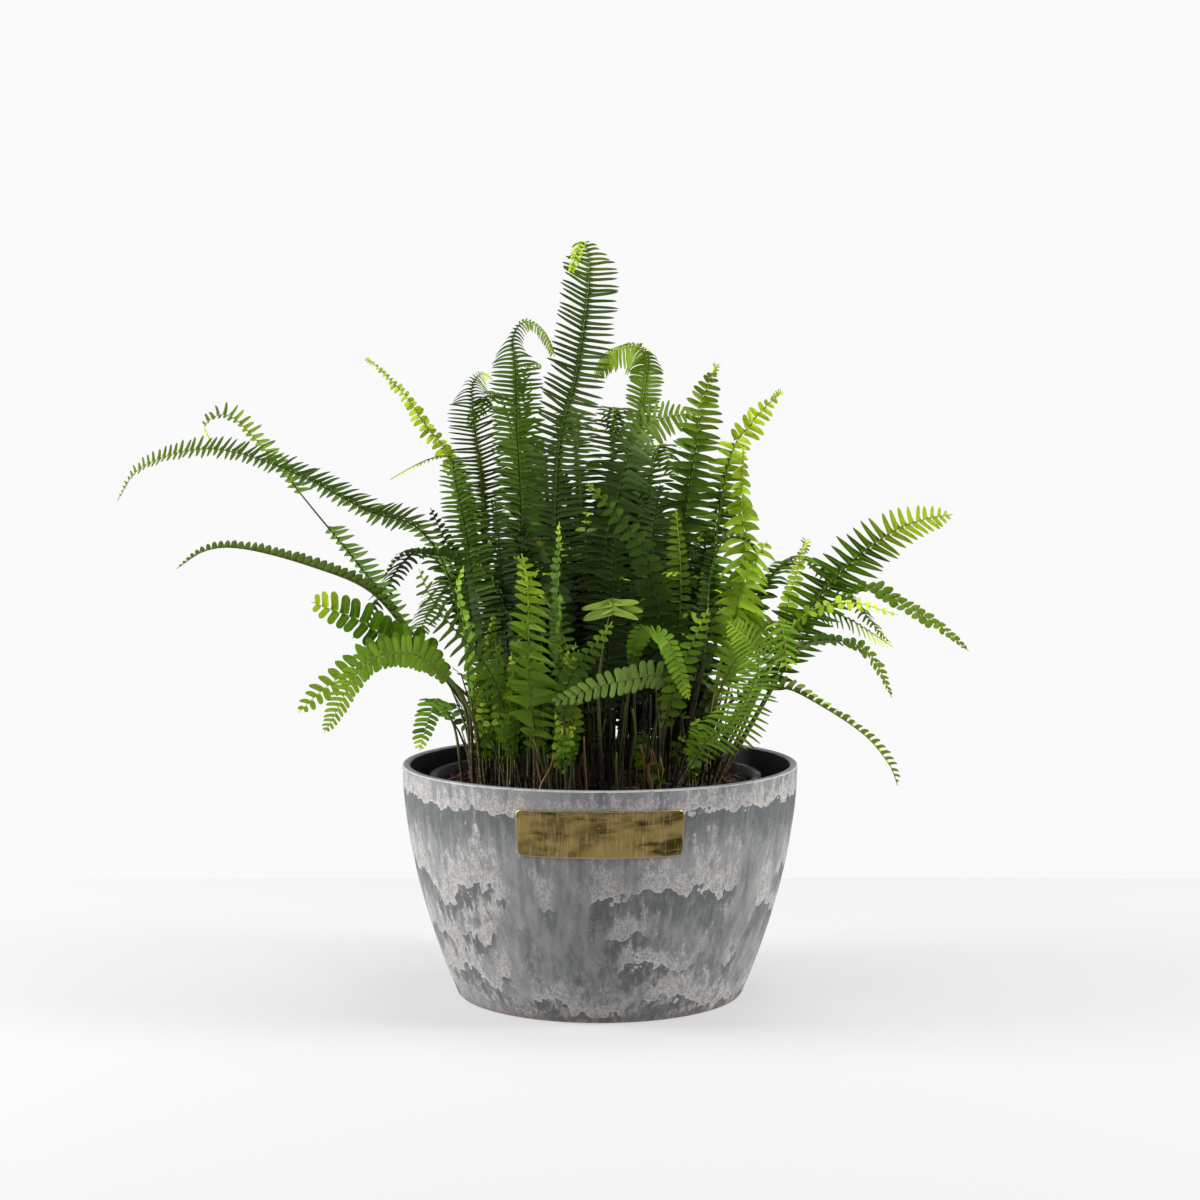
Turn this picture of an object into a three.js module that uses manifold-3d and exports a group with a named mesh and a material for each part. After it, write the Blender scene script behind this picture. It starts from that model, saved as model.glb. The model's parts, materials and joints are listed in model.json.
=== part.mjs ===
// Kimberly queen fern: a fountain of sword-shaped fronds in a black grow pot,
// which stands in a round, tapering, stone-look planter with a bowed brass plate.
// Millimetres, +Z up, -Y to the front, origin at the centre of the planter's underside.

import * as THREE from 'three';
import { mergeVertices } from 'three/addons/utils/BufferGeometryUtils.js';
import Module from 'manifold-3d';

// Planter
const planterHeight = 179;
const planterRimRadius = 152.5;
const planterFootRadius = 110;
const planterSwell = 1.8;
const planterWall = 6;
const planterFloor = 6;

// Name plate
const plateWidth = 123;
const plateHeight = 34;
const plateThickness = 1.2;
const plateCorner = 4;
const plateMiddleHeight = 147;

// Grow pot
const potRimRadius = 128.5;
const potFlangeWidth = 6.5;
const potFlangeDepth = 8;
const potBaseRadius = 88;
const potWall = 1.8;
const potTop = planterHeight - 9;
const potShift = -3.5;
const drainHoles = 6;
const drainRadius = 6;

// Soil
const soilEdgeHeight = potTop - 7;
const soilMound = 5;
const soilRelief = 1.2;
const stemDepth = 12;
const stemHoleRadius = 3.7;

// Fronds
const gap = 0.3;
const roundSides = 48;
const leafletPitch = 13;
const stemPitch = 46;
const stemHalf = 2;
const ribHalfWidth = 1.2;
const ribHalfDepth = 0.9;
const leafSweep = 0.12;
const leafDroop = 0.16;
const leafClearance = 2.2;

const up = new THREE.Vector3(0, 0, 1);

// Each frond: where its stem leaves the soil, the points its rib passes through up to the
// tip, which way its right-hand leaflets point (at the base, and at the tip where the frond
// twists, from the share called turn on), the length of its longest leaflets and the share of
// the rib that is bare stem.
const fronds = [
  { name: 'long_left', foot: [-88, 22], reach: 20, bare: 0.34, side: [0.5, -0.6, 0.7],
    through: [[-112, 12, 304], [-139, 15, 357], [-180, 20, 372], [-230, 26, 398], [-282, 30, 417],
      [-320, 30, 419], [-358, 26, 405], [-375, 22, 380]] },
  { name: 'curl_left', foot: [-74, 48], reach: 17, bare: 0.32, side: [0.45, -0.6, 0.7], sideTip: [0.3, -0.8, 0.3],
    through: [[-138, 34, 263], [-168, 40, 301], [-198, 48, 338], [-229, 54, 375], [-264, 58, 418],
      [-293, 60, 446], [-312, 58, 439], [-306, 54, 424]] },
  { name: 'low_left', foot: [-60, -32], reach: 12, bare: 0.42, side: [0.1, -1, 0.5],
    through: [[-85, -34, 217], [-115, -31, 247], [-142, -34, 277], [-174, -38, 314], [-218, -40, 333],
      [-267, -42, 346], [-296, -42, 345], [-319, -40, 331]] },
  { name: 'pale_left_upper', foot: [-98, -22], reach: 18, bare: 0.44, side: [0.75, 0.3, 0.8],
    sideTip: [0.3, 0, 1],
    through: [[-104, -34, 229], [-133, -46, 267], [-157, -54, 278], [-181, -60, 294], [-200, -64, 302],
      [-215, -66, 308]] },
  { name: 'pale_left_middle', foot: [-96, -42], reach: 18, bare: 0.42, side: [0.5, -0.5, 0.9],
    sideTip: [-0.5, -0.4, 0.9],
    through: [[-100, -54, 230], [-127, -70, 265], [-144, -80, 275], [-168, -90, 271], [-185, -96, 259],
      [-204, -98, 245], [-221, -98, 229]] },
  { name: 'pale_left_lower', foot: [-88, -60], reach: 15, bare: 0.42, side: [0.5, -0.3, 0.9],
    sideTip: [-0.9, -0.3, 0.6],
    through: [[-96, -70, 225], [-126, -92, 266], [-146, -106, 274], [-167, -116, 269], [-181, -122, 252],
      [-193, -126, 228], [-199, -128, 218]] },
  { name: 'pale_upper_left', foot: [-62, 74], reach: 14, bare: 0.38, side: [0.8, 0.3, 0.5],
    sideTip: [0.3, 0.2, 1],
    through: [[-95, 78, 266], [-105, 82, 362], [-123, 86, 416], [-140, 88, 438], [-158, 90, 464],
      [-184, 90, 490]] },
  { name: 'bowed_left', foot: [-80, 10], reach: 21, bare: 0.26, side: [1, -0.2, 0], sideTip: [0.35, -0.9, 0],
    through: [[-93, 0, 273], [-102, -8, 351], [-110, -14, 394], [-112, -18, 411], [-118, -22, 416],
      [-137, -28, 410], [-158, -34, 398]] },
  { name: 'hanging_left', foot: [-104, -34], reach: 13, bare: 0.42, side: [0.7, -0.6, 0.3],
    sideTip: [0.9, 0, -0.4],
    through: [[-109, -46, 208], [-116, -60, 228], [-121, -74, 236], [-126, -90, 224], [-132, -104, 202]] },
  { name: 'dark_left', foot: [-70, -24], reach: 10, bare: 0.4, side: [0.3, -1, 0.2],
    through: [[-95, -26, 276], [-103, -34, 326], [-111, -40, 339], [-127, -46, 342], [-141, -52, 343],
      [-152, -56, 338], [-161, -60, 326]] },
  { name: 'tall_left', foot: [-58, 44], reach: 20, bare: 0.22, side: [0.95, 0.3, 0],
    sideTip: [-0.3, 0.1, -0.9], turn: 0.84,
    through: [[-86, 48, 301], [-92, 56, 386], [-98, 60, 428], [-101, 60, 458], [-100, 54, 472],
      [-92, 44, 479], [-84, 36, 474]] },
  { name: 'tall_middle', foot: [-40, 34], reach: 21, bare: 0.2, side: [0.95, 0.25, 0],
    sideTip: [-0.85, 0, -0.5], turn: 0.76,
    through: [[-60, 38, 301], [-62, 40, 380], [-65, 42, 435], [-66, 42, 481], [-68, 38, 507],
      [-58, 28, 519], [-45, 18, 511], [-35, 10, 491]] },
  { name: 'tall_behind', foot: [-36, 72], reach: 18, bare: 0.24, side: [0.9, 0.35, 0],
    through: [[-57, 80, 298], [-59, 90, 378], [-60, 94, 434], [-61, 90, 470], [-58, 82, 485],
      [-49, 76, 483]] },
  { name: 'tallest', foot: [-32, 6], reach: 27, bare: 0.2, side: [0.95, -0.3, 0],
    sideTip: [-0.6, 0.5, 0.6], turn: 0.86,
    through: [[-34, 8, 273], [-32, 10, 412], [-18, 10, 476], [-10, 6, 529], [-8, -2, 563], [-14, -14, 577],
      [-23, -28, 551]] },
  { name: 'nodding', foot: [16, 62], reach: 16, bare: 0.3, side: [0.9, -0.4, 0],
    sideTip: [-0.8, 0.5, 0.5], turn: 0.7,
    through: [[26, 64, 331], [29, 62, 419], [37, 54, 483], [31, 40, 499], [16, 28, 498], [5, 20, 492],
      [-1, 12, 475]] },
  { name: 'upright_right', foot: [58, 52], reach: 26, bare: 0.26, side: [1, 0.1, -0.1],
    through: [[61, 50, 300], [66, 48, 364], [72, 44, 403], [77, 42, 431], [80, 40, 456], [89, 36, 482]] },
  { name: 'leaning_right', foot: [72, 70], reach: 20, bare: 0.3, side: [0.9, 0.2, -0.4],
    through: [[86, 74, 299], [97, 80, 379], [107, 84, 420], [116, 86, 433], [130, 88, 450],
      [143, 88, 462]] },
  { name: 'lime_upright', foot: [84, 18], reach: 26, bare: 0.3, side: [1, -0.1, 0],
    through: [[109, 10, 272], [113, 4, 312], [111, 0, 351], [109, 0, 377], [110, -2, 404],
      [110, -4, 418]] },
  { name: 'fan_right', foot: [74, -18], reach: 24, bare: 0.34, side: [0.9, -0.3, -0.4],
    through: [[92, -30, 261], [103, -40, 300], [113, -48, 330], [125, -54, 353]] },
  { name: 'arching_middle', foot: [4, -6], reach: 27, bare: 0.24, side: [1, -0.1, 0],
    sideTip: [0.1, -0.5, -0.9], turn: 0.5,
    through: [[2, -6, 274], [4, -4, 335], [9, 0, 366], [16, 2, 390], [24, 0, 421], [34, -8, 437],
      [51, -18, 445], [75, -24, 448]] },
  { name: 'dark_middle', foot: [2, -34], reach: 24, bare: 0.24, side: [1, 0.2, 0],
    through: [[4, -42, 239], [8, -56, 301], [10, -64, 331], [12, -72, 354]] },
  { name: 'young_middle', foot: [52, -22], reach: 16, bare: 0.3, side: [1, 0.1, 0.1],
    through: [[57, -28, 261], [61, -34, 307], [60, -38, 344], [57, -40, 376]] },
  { name: 'crossing_middle', foot: [44, -34], reach: 14, bare: 0.34, side: [0.8, -0.3, 0.6],
    through: [[47, -46, 278], [40, -62, 316], [32, -74, 348], [24, -78, 360], [8, -84, 378],
      [-10, -88, 398]] },
  { name: 'wide_right', foot: [92, -6], reach: 29, bare: 0.28, side: [0.9, -0.2, -0.5],
    sideTip: [0.3, -0.2, -1],
    through: [[130, -8, 235], [145, -10, 274], [169, -12, 309], [196, -14, 338], [224, -16, 358],
      [247, -18, 367], [268, -20, 371]] },
  { name: 'far_right', foot: [98, 32], reach: 12, bare: 0.38, side: [0.1, -1, -0.5], sideTip: [0, -1, 0.1],
    through: [[149, 34, 254], [180, 38, 297], [213, 42, 311], [241, 46, 296], [269, 48, 280],
      [290, 50, 260]] },
  { name: 'drooping_right', foot: [84, -44], reach: 12, bare: 0.3, side: [0.3, -1, -0.5],
    sideTip: [0.3, -1, 0.1],
    through: [[110, -58, 241], [146, -74, 274], [169, -82, 281], [193, -90, 276], [205, -94, 261],
      [214, -96, 240]] },
  { name: 'lower_right', foot: [74, -62], reach: 12, bare: 0.34, side: [0.2, -1, -0.5], sideTip: [0.3, -1, 0],
    through: [[87, -80, 223], [109, -100, 244], [132, -112, 249], [153, -120, 241], [189, -130, 218],
      [208, -134, 196], [214, -136, 181]] },
  { name: 'lime_crozier', foot: [88, 12], reach: 9, bare: 0.6, side: [0.9, 0.2, -0.3],
    through: [[139, 16, 264], [147, 20, 303], [153, 22, 324], [158, 22, 345]] },
  { name: 'lime_right', foot: [90, -24], reach: 12, bare: 0.48, side: [0.3, -0.8, -0.7],
    through: [[132, -36, 261], [150, -46, 293], [172, -52, 305], [194, -58, 306], [208, -62, 302],
      [222, -64, 298]] },
  { name: 'back_right', foot: [86, 52], reach: 18, bare: 0.46, side: [0, -1, -0.4],
    through: [[150, 60, 268], [171, 70, 291], [196, 78, 285], [218, 84, 272], [236, 88, 260]] },
  { name: 'front_light', foot: [-48, -84], reach: 26, bare: 0.2, side: [1, 0.1, 0],
    through: [[-49, -88, 216], [-52, -92, 245], [-52, -98, 284], [-53, -102, 324], [-57, -104, 346]] },
  { name: 'comb_front', foot: [66, -40], reach: 14, bare: 0.38, side: [0.9, -0.3, 0.1],
    sideTip: [-0.5, -0.3, 0.8], turn: -0.3,
    through: [[59, -62, 234], [46, -84, 255], [23, -104, 254], [1, -118, 251], [-19, -126, 245],
      [-35, -130, 240]] },
  { name: 'claw_front', foot: [14, -60], reach: 10, bare: 0.46, side: [0.9, 0.3, -0.1],
    sideTip: [-0.95, -0.1, -0.3], turn: 0.45,
    through: [[23, -84, 259], [29, -104, 290], [41, -118, 290], [50, -126, 283], [58, -132, 262],
      [64, -136, 243]] },
  { name: 'sweeping_right', foot: [54, -86], reach: 26, bare: 0.2, side: [0.6, 0.2, -0.7],
    sideTip: [0.3, 0.8, 0.2],
    through: [[76, -98, 205], [93, -110, 221], [106, -122, 242], [114, -134, 267], [108, -146, 284],
      [90, -156, 301]] },
  { name: 'spotted_right', foot: [70, -34], reach: 20, bare: 0.4, side: [0.7, 0.2, -0.6],
    sideTip: [-0.9, 0, -0.2], turn: 0.5,
    through: [[90, -64, 242], [110, -90, 282], [127, -104, 296], [133, -112, 288], [135, -120, 262]] },
  { name: 'edge_left', foot: [-86, -34], reach: 10, bare: 0.42, side: [0.3, -1, 0],
    through: [[-97, -52, 233], [-101, -62, 288], [-106, -66, 317], [-101, -68, 335]] },
  { name: 'dark_right', foot: [58, -52], reach: 10, bare: 0.46, side: [0.5, -0.85, -0.2],
    through: [[77, -70, 265], [81, -82, 325], [89, -86, 353], [98, -88, 357], [108, -90, 354],
      [114, -92, 346]] },
  { name: 'slanting_left', foot: [-58, -62], reach: 17, bare: 0.3, side: [0.8, 0, 0.6],
    through: [[-71, -72, 227], [-83, -84, 261], [-109, -96, 293], [-123, -100, 313], [-132, -102, 335]] },
  { name: 'thin_left', foot: [-80, 68], reach: 12, bare: 0.45, side: [0.9, 0.2, 0.4],
    through: [[-101, 72, 267], [-117, 80, 330], [-126, 82, 350], [-136, 84, 372]] },
  { name: 'edge_middle', foot: [-36, -68], reach: 10, bare: 0.4, side: [0.25, -1, 0],
    through: [[-32, -72, 235], [-32, -76, 303], [-31, -78, 340], [-30, -78, 368]] },
  { name: 'pale_middle', foot: [2, -76], reach: 22, bare: 0.74, side: [0.8, -0.4, -0.4],
    through: [[-1, -90, 237], [2, -104, 276], [9, -116, 313]] },
  { name: 'inner_left', foot: [-66, -4], reach: 22, bare: 0.24, side: [0.9, -0.4, 0],
    through: [[-70, -6, 250], [-76, -10, 330], [-80, -22, 385]] },
  { name: 'inner_right', foot: [34, 12], reach: 24, bare: 0.24, side: [0.9, 0.4, 0],
    through: [[34, 12, 250], [38, 8, 330], [46, -6, 395]] },
  { name: 'bright_right', foot: [42, -52], reach: 13, bare: 0.32, side: [0.8, 0.5, -0.4],
    through: [[50, -64, 219], [60, -84, 259], [70, -96, 285], [79, -104, 306]] },
  { name: 'front_middle', foot: [-24, -92], reach: 11, bare: 0.4, side: [1, 0.2, 0],
    through: [[-26, -98, 238], [-17, -108, 263], [-1, -118, 284], [9, -124, 298]] },
];

// The fronds of the crown's far half, which lean out evenly over the back of the pot in an
// outer tier of long low arches and an inner tier of taller ones: the bearing of the first
// frond and the step to the next in degrees, how far out the tip is, how high the arch and
// the tip are, and the leaflets' length.
const tiers = [
  { name: 'back_low', count: 6, bearing: 22, step: 27, root: 84, out: 235, crest: 325, tip: 255, reach: 27 },
  { name: 'back_high', count: 5, bearing: 64, step: 19, root: 64, out: 130, crest: 440, tip: 415, reach: 28 },
];

for (const tier of tiers) {
  for (let index = 0; index < tier.count; index += 1) {
    const bearing = THREE.MathUtils.degToRad(tier.bearing + tier.step * index);
    const wave = Math.sin(2.4 * index + tier.out);
    const along = (radius, height) => [
      radius * Math.cos(bearing), radius * Math.sin(bearing), height * (1 + 0.05 * wave)];
    const out = tier.out * (1 + 0.08 * Math.cos(3.1 * index));
    fronds.push({
      name: `${tier.name}_${index + 1}`,
      foot: along(tier.root, 0).slice(0, 2),
      through: [
        along(tier.root + 0.15 * (out - tier.root), 0.78 * tier.crest),
        along(tier.root + 0.52 * (out - tier.root), tier.crest),
        along(out, tier.tip),
      ],
      side: [-Math.sin(bearing), Math.cos(bearing), 0.1 * wave],
      reach: tier.reach,
      bare: 0.34,
    });
  }
}

const wasm = await Module();
wasm.setup();

// A closed mesh as a solid that can be cut, and back.
function toSolid(geometry) {
  const bare = geometry.clone();
  bare.deleteAttribute('normal');
  bare.deleteAttribute('uv');
  const merged = mergeVertices(bare, 1e-4);
  return new wasm.Manifold(new wasm.Mesh({
    numProp: 3,
    vertProperties: new Float32Array(merged.attributes.position.array),
    triVerts: new Uint32Array(merged.index.array),
  }));
}

function toGeometry(solid) {
  const mesh = solid.getMesh();
  const geometry = new THREE.BufferGeometry();
  geometry.setAttribute('position', new THREE.BufferAttribute(new Float32Array(mesh.vertProperties), 3));
  geometry.setIndex(new THREE.BufferAttribute(new Uint32Array(mesh.triVerts), 1));
  return geometry;
}

// A profile of [radius, height] pairs turned round the upright axis.
function turned(profile) {
  const points = profile.map(([radius, height]) => new THREE.Vector2(radius, height));
  return new THREE.LatheGeometry(points, roundSides).rotateX(Math.PI / 2);
}

// Planter: an open shell whose outside swells quickly from the foot and stands almost
// upright at the rim.
function planterRadius(height) {
  const share = Math.min(Math.max(height / planterHeight, 0), 1);
  return planterFootRadius + (planterRimRadius - planterFootRadius) * (1 - (1 - share) ** planterSwell);
}

function buildPlanter() {
  const footEdge = 3;
  const rimEdge = 3;
  const levels = [15, 30, 50, 75, 100, 125, 150];
  const outside = levels.map((height) => [planterRadius(height), height]);
  const inside = [150, 110, 70, 35].map((height) => [planterRadius(height) - planterWall, height]);
  return turned([
    [0, 0],
    [planterFootRadius - footEdge, 0],
    [planterRadius(footEdge), footEdge],
    ...outside,
    [planterRimRadius, planterHeight - rimEdge],
    [planterRimRadius - 1, planterHeight],
    [planterRimRadius - planterWall, planterHeight],
    [planterRimRadius - planterWall - 0.5, planterHeight - rimEdge],
    ...inside,
    [planterRadius(planterFloor) - planterWall - 4, planterFloor],
    [0, planterFloor],
  ]);
}

// Name plate: a thin rounded rectangle bowed round the planter's wall, and bare.
function buildPlate() {
  const geometry = new THREE.BoxGeometry(1, 1, 1, 14, 3, 1);
  const position = geometry.attributes.position;
  const halfWidth = plateWidth / 2;
  const straight = halfWidth - plateCorner;
  for (let index = 0; index < position.count; index += 1) {
    const share = 2 * position.getX(index);
    const column = Math.round(share * 7);
    const ends = [straight - 5, straight, straight + plateCorner * 0.7, halfWidth];
    const inner = (Math.abs(column) / 4) * ends[0];
    const distance = Math.abs(column) > 4 ? ends[Math.abs(column) - 4] : inner;
    const arc = Math.sign(column) * distance;
    const beyond = Math.max(distance - straight, 0);
    const cut = plateCorner - Math.sqrt(Math.max(plateCorner ** 2 - beyond ** 2, 0));
    const height = plateMiddleHeight + 2 * position.getY(index) * (plateHeight / 2 - cut);
    const lift = gap + (position.getZ(index) > 0 ? plateThickness : 0);
    const radius = planterRadius(height) + lift;
    const angle = arc / planterRadius(plateMiddleHeight) - Math.PI / 2;
    position.setXYZ(index, radius * Math.cos(angle), radius * Math.sin(angle), height);
  }
  return geometry;
}

// Grow pot: a thin tapering pot with a flange round its mouth and drain holes in its floor.
function potRadius(height) {
  const share = (height - planterFloor) / (potTop - planterFloor);
  return potBaseRadius + (potRimRadius - potFlangeWidth + potWall - potBaseRadius) * share;
}

function buildGrowPot() {
  const base = planterFloor + gap;
  const flangeBottom = potTop - potFlangeDepth;
  const wallTop = flangeBottom - 1;
  const floorTop = base + potWall;
  const shell = turned([
    [0, base],
    [potRadius(base), base],
    [potRadius(wallTop), wallTop],
    [potRimRadius - potWall, flangeBottom],
    [potRimRadius, potTop - 1],
    [potRimRadius - 1, potTop],
    [potRadius(potTop) - potWall, potTop],
    [potRadius(wallTop) - potWall, wallTop],
    [potRadius(floorTop) - potWall, floorTop],
    [0, floorTop],
  ]);
  let solid = toSolid(shell);
  for (let index = 0; index < drainHoles; index += 1) {
    const angle = (2 * Math.PI * (index + 0.5)) / drainHoles;
    const drill = new THREE.CylinderGeometry(drainRadius, drainRadius, 10, 6).rotateX(Math.PI / 2);
    drill.translate(0.72 * potBaseRadius * Math.cos(angle), 0.72 * potBaseRadius * Math.sin(angle), base);
    solid = solid.subtract(toSolid(drill));
  }
  return toGeometry(solid).translate(potShift, 0, 0);
}

// Soil: fills the grow pot to just below its flange, slightly mounded and uneven, with one
// plain hole for each stem.
function soilHeight(x, y) {
  const radius = Math.hypot(x - potShift, y) / potRadius(soilEdgeHeight);
  const mound = soilMound * Math.max(1 - radius ** 2, 0);
  return soilEdgeHeight + mound + soilRelief * Math.sin(x / 11) * Math.cos(y / 13);
}

function buildSoil() {
  const base = planterFloor + 2 * gap + potWall;
  const inside = (height) => potRadius(height) - potWall - gap;
  const rings = [0.86, 0.7, 0.54, 0.38, 0.2, 0].map((share) => [share * inside(soilEdgeHeight), soilEdgeHeight]);
  const body = turned([
    [0, base],
    [inside(base), base],
    [inside(soilEdgeHeight - 2), soilEdgeHeight - 2],
    ...rings,
  ]).translate(potShift, 0, 0);
  const position = body.attributes.position;
  for (let index = 0; index < position.count; index += 1) {
    if (position.getZ(index) > soilEdgeHeight - 1) {
      position.setZ(index, soilHeight(position.getX(index), position.getY(index)));
    }
  }
  let solid = toSolid(body);
  for (const { foot } of fronds) {
    const floor = soilEdgeHeight - stemDepth;
    const drill = new THREE.CylinderGeometry(stemHoleRadius, stemHoleRadius, 40, 6).rotateX(Math.PI / 2);
    solid = solid.subtract(toSolid(drill.translate(foot[0], foot[1], floor - gap + 20)));
  }
  return toGeometry(solid);
}

// A frond's rib as a row of stations, each with its place, its frame (right, up and ahead)
// and the half sizes of the rib's section there.
function ribStations(frond) {
  const [footX, footY] = frond.foot;
  const ground = soilHeight(footX, footY) + 2;
  const points = [[footX, footY, ground], ...frond.through].map((point) => new THREE.Vector3(...point));
  const route = new THREE.CatmullRomCurve3(points, false, 'catmullrom', 0.5);
  const length = route.getLength();
  const leafy = (1 - frond.bare) * length;
  const pairs = Math.max(Math.round(leafy / leafletPitch), 5);
  const bareSteps = Math.max(Math.round((length - leafy) / stemPitch), 2);
  const shares = [];
  for (let index = 0; index < bareSteps; index += 1) shares.push((frond.bare * index) / bareSteps);
  for (let index = 0; index <= pairs; index += 1) {
    const open = 1 - (1 - (0.97 * index) / pairs) ** 1.2;
    shares.push(frond.bare + (1 - frond.bare) * open);
  }
  const sideBase = new THREE.Vector3(...frond.side).normalize();
  const sideTip = new THREE.Vector3(...(frond.sideTip ?? frond.side)).normalize();
  const stations = shares.map((share) => {
    const ahead = route.getTangentAt(share);
    const turned = Math.max(share - (frond.turn ?? 0), 0) / (1 - (frond.turn ?? 0));
    const right = sideBase.clone().lerp(sideTip, turned);
    right.addScaledVector(ahead, -right.dot(ahead)).normalize();
    return {
      place: route.getPointAt(share),
      ahead,
      right,
      top: new THREE.Vector3().crossVectors(right, ahead),
      halfWidth: THREE.MathUtils.lerp(stemHalf, ribHalfWidth, Math.min(share / frond.bare, 1)) * (1 - 0.4 * share),
      halfDepth: THREE.MathUtils.lerp(stemHalf, ribHalfDepth, Math.min(share / frond.bare, 1)) * (1 - 0.3 * share),
    };
  });
  const foot = stations[0];
  const right = foot.right.clone().setZ(0).normalize();
  const buried = { ...foot, right, ahead: up.clone(), top: new THREE.Vector3().crossVectors(right, up) };
  buried.halfWidth = stemHalf;
  buried.halfDepth = stemHalf;
  stations.unshift({ ...buried }, { ...buried });
  stations[0].place = new THREE.Vector3(footX, footY, soilEdgeHeight - stemDepth);
  stations[1].place = new THREE.Vector3(footX, footY, ground);
  stations.splice(2, 1);
  return { stations, first: bareSteps + 1, pairs, tip: route.getPointAt(1) };
}

// Leaflets are longest over the middle of the blade and shorten to its tip.
function leafletReach(frond, share) {
  return frond.reach * Math.min(1, 0.6 + 2 * share) * (1 - share ** 3) ** 0.6;
}

// The middle plane of one leaflet: two corners on the rib's edge and its point.
function leafletTriangle(frond, rib, index, sign, scale, lift) {
  const from = rib.stations[rib.first + index];
  const to = rib.stations[rib.first + index + 1];
  const share = (index + 0.5) / rib.pairs;
  const reach = scale * leafletReach(frond, share);
  const sweep = leafSweep + 0.5 * share ** 3;
  const point = from.place.clone().lerp(to.place, 0.6)
    .addScaledVector(from.right, sign * (reach * Math.cos(sweep) + from.halfWidth))
    .addScaledVector(from.ahead, reach * Math.sin(sweep))
    .addScaledVector(from.top, lift * reach)
    .addScaledVector(up, -leafDroop * reach);
  const corner = (station) => station.place.clone().addScaledVector(station.right, sign * station.halfWidth);
  return new THREE.Triangle(corner(from), corner(to), point);
}

const edges = (triangle) => [
  new THREE.Line3(triangle.a, triangle.b),
  new THREE.Line3(triangle.b, triangle.c),
  new THREE.Line3(triangle.c, triangle.a),
];

function crosses(line, triangle) {
  const direction = line.delta(new THREE.Vector3());
  const length = direction.length();
  const ray = new THREE.Ray(line.start, direction.divideScalar(length));
  const hit = ray.intersectTriangle(triangle.a, triangle.b, triangle.c, false, new THREE.Vector3());
  return hit !== null && hit.distanceTo(line.start) <= length;
}

function lineDistance(line, triangle) {
  if (crosses(line, triangle)) return 0;
  const nearest = new THREE.Vector3();
  const ends = [line.start, line.end].map((end) => triangle.closestPointToPoint(end, nearest).distanceTo(end));
  const sides = edges(triangle).map((edge) => Math.sqrt(edge.distanceSqToLine3(line)));
  return Math.min(...ends, ...sides);
}

function leafDistance(one, other) {
  const there = edges(one).map((edge) => lineDistance(edge, other));
  const back = edges(other).map((edge) => lineDistance(edge, one));
  return Math.min(...there, ...back);
}

// A leaflet without its foot, which neighbours on one side of a rib share.
function outerPart(triangle) {
  const corners = [triangle.a, triangle.b].map((corner) => corner.clone().lerp(triangle.c, 0.3));
  return new THREE.Triangle(...corners, triangle.c);
}

// Whether a leaflet points along the next or the last piece of its own rib.
function liesOnRib(rib, index, triangle) {
  const along = (near, far, corner) => {
    const [start, end] = [rib.stations[rib.first + near], rib.stations[rib.first + far]];
    if (!start || !end) return false;
    const way = end.place.clone().sub(start.place).normalize();
    return triangle.c.clone().sub(corner).normalize().dot(way) > 0.6;
  };
  return along(index + 1, index + 2, triangle.b) || along(index, index - 1, triangle.a);
}

// Whether two such neighbours close up or cross, as they would inside a tight bend.
function crowds(before, after, station, sign) {
  const one = before.c.clone().sub(after.a);
  const other = after.c.clone().sub(after.a);
  const opening = sign * station.top.dot(new THREE.Vector3().crossVectors(one, other));
  if (opening < 0.12 * one.length() * other.length()) return true;
  return leafDistance(outerPart(before), outerPart(after)) < 0.7;
}

function ball(points) {
  const sphere = new THREE.Sphere().setFromPoints(points);
  return sphere;
}

// A leaflet keeps clear of the soil, of the planter's rim and of both of its sides.
function clearOfPot(point) {
  const radius = Math.hypot(point.x, point.y);
  if (point.z > planterHeight + 4) return true;
  if (radius > planterRadius(point.z) + 4) return true;
  return radius < potRimRadius - potFlangeWidth - 6 && point.z > soilEdgeHeight + soilMound + 4;
}

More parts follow.
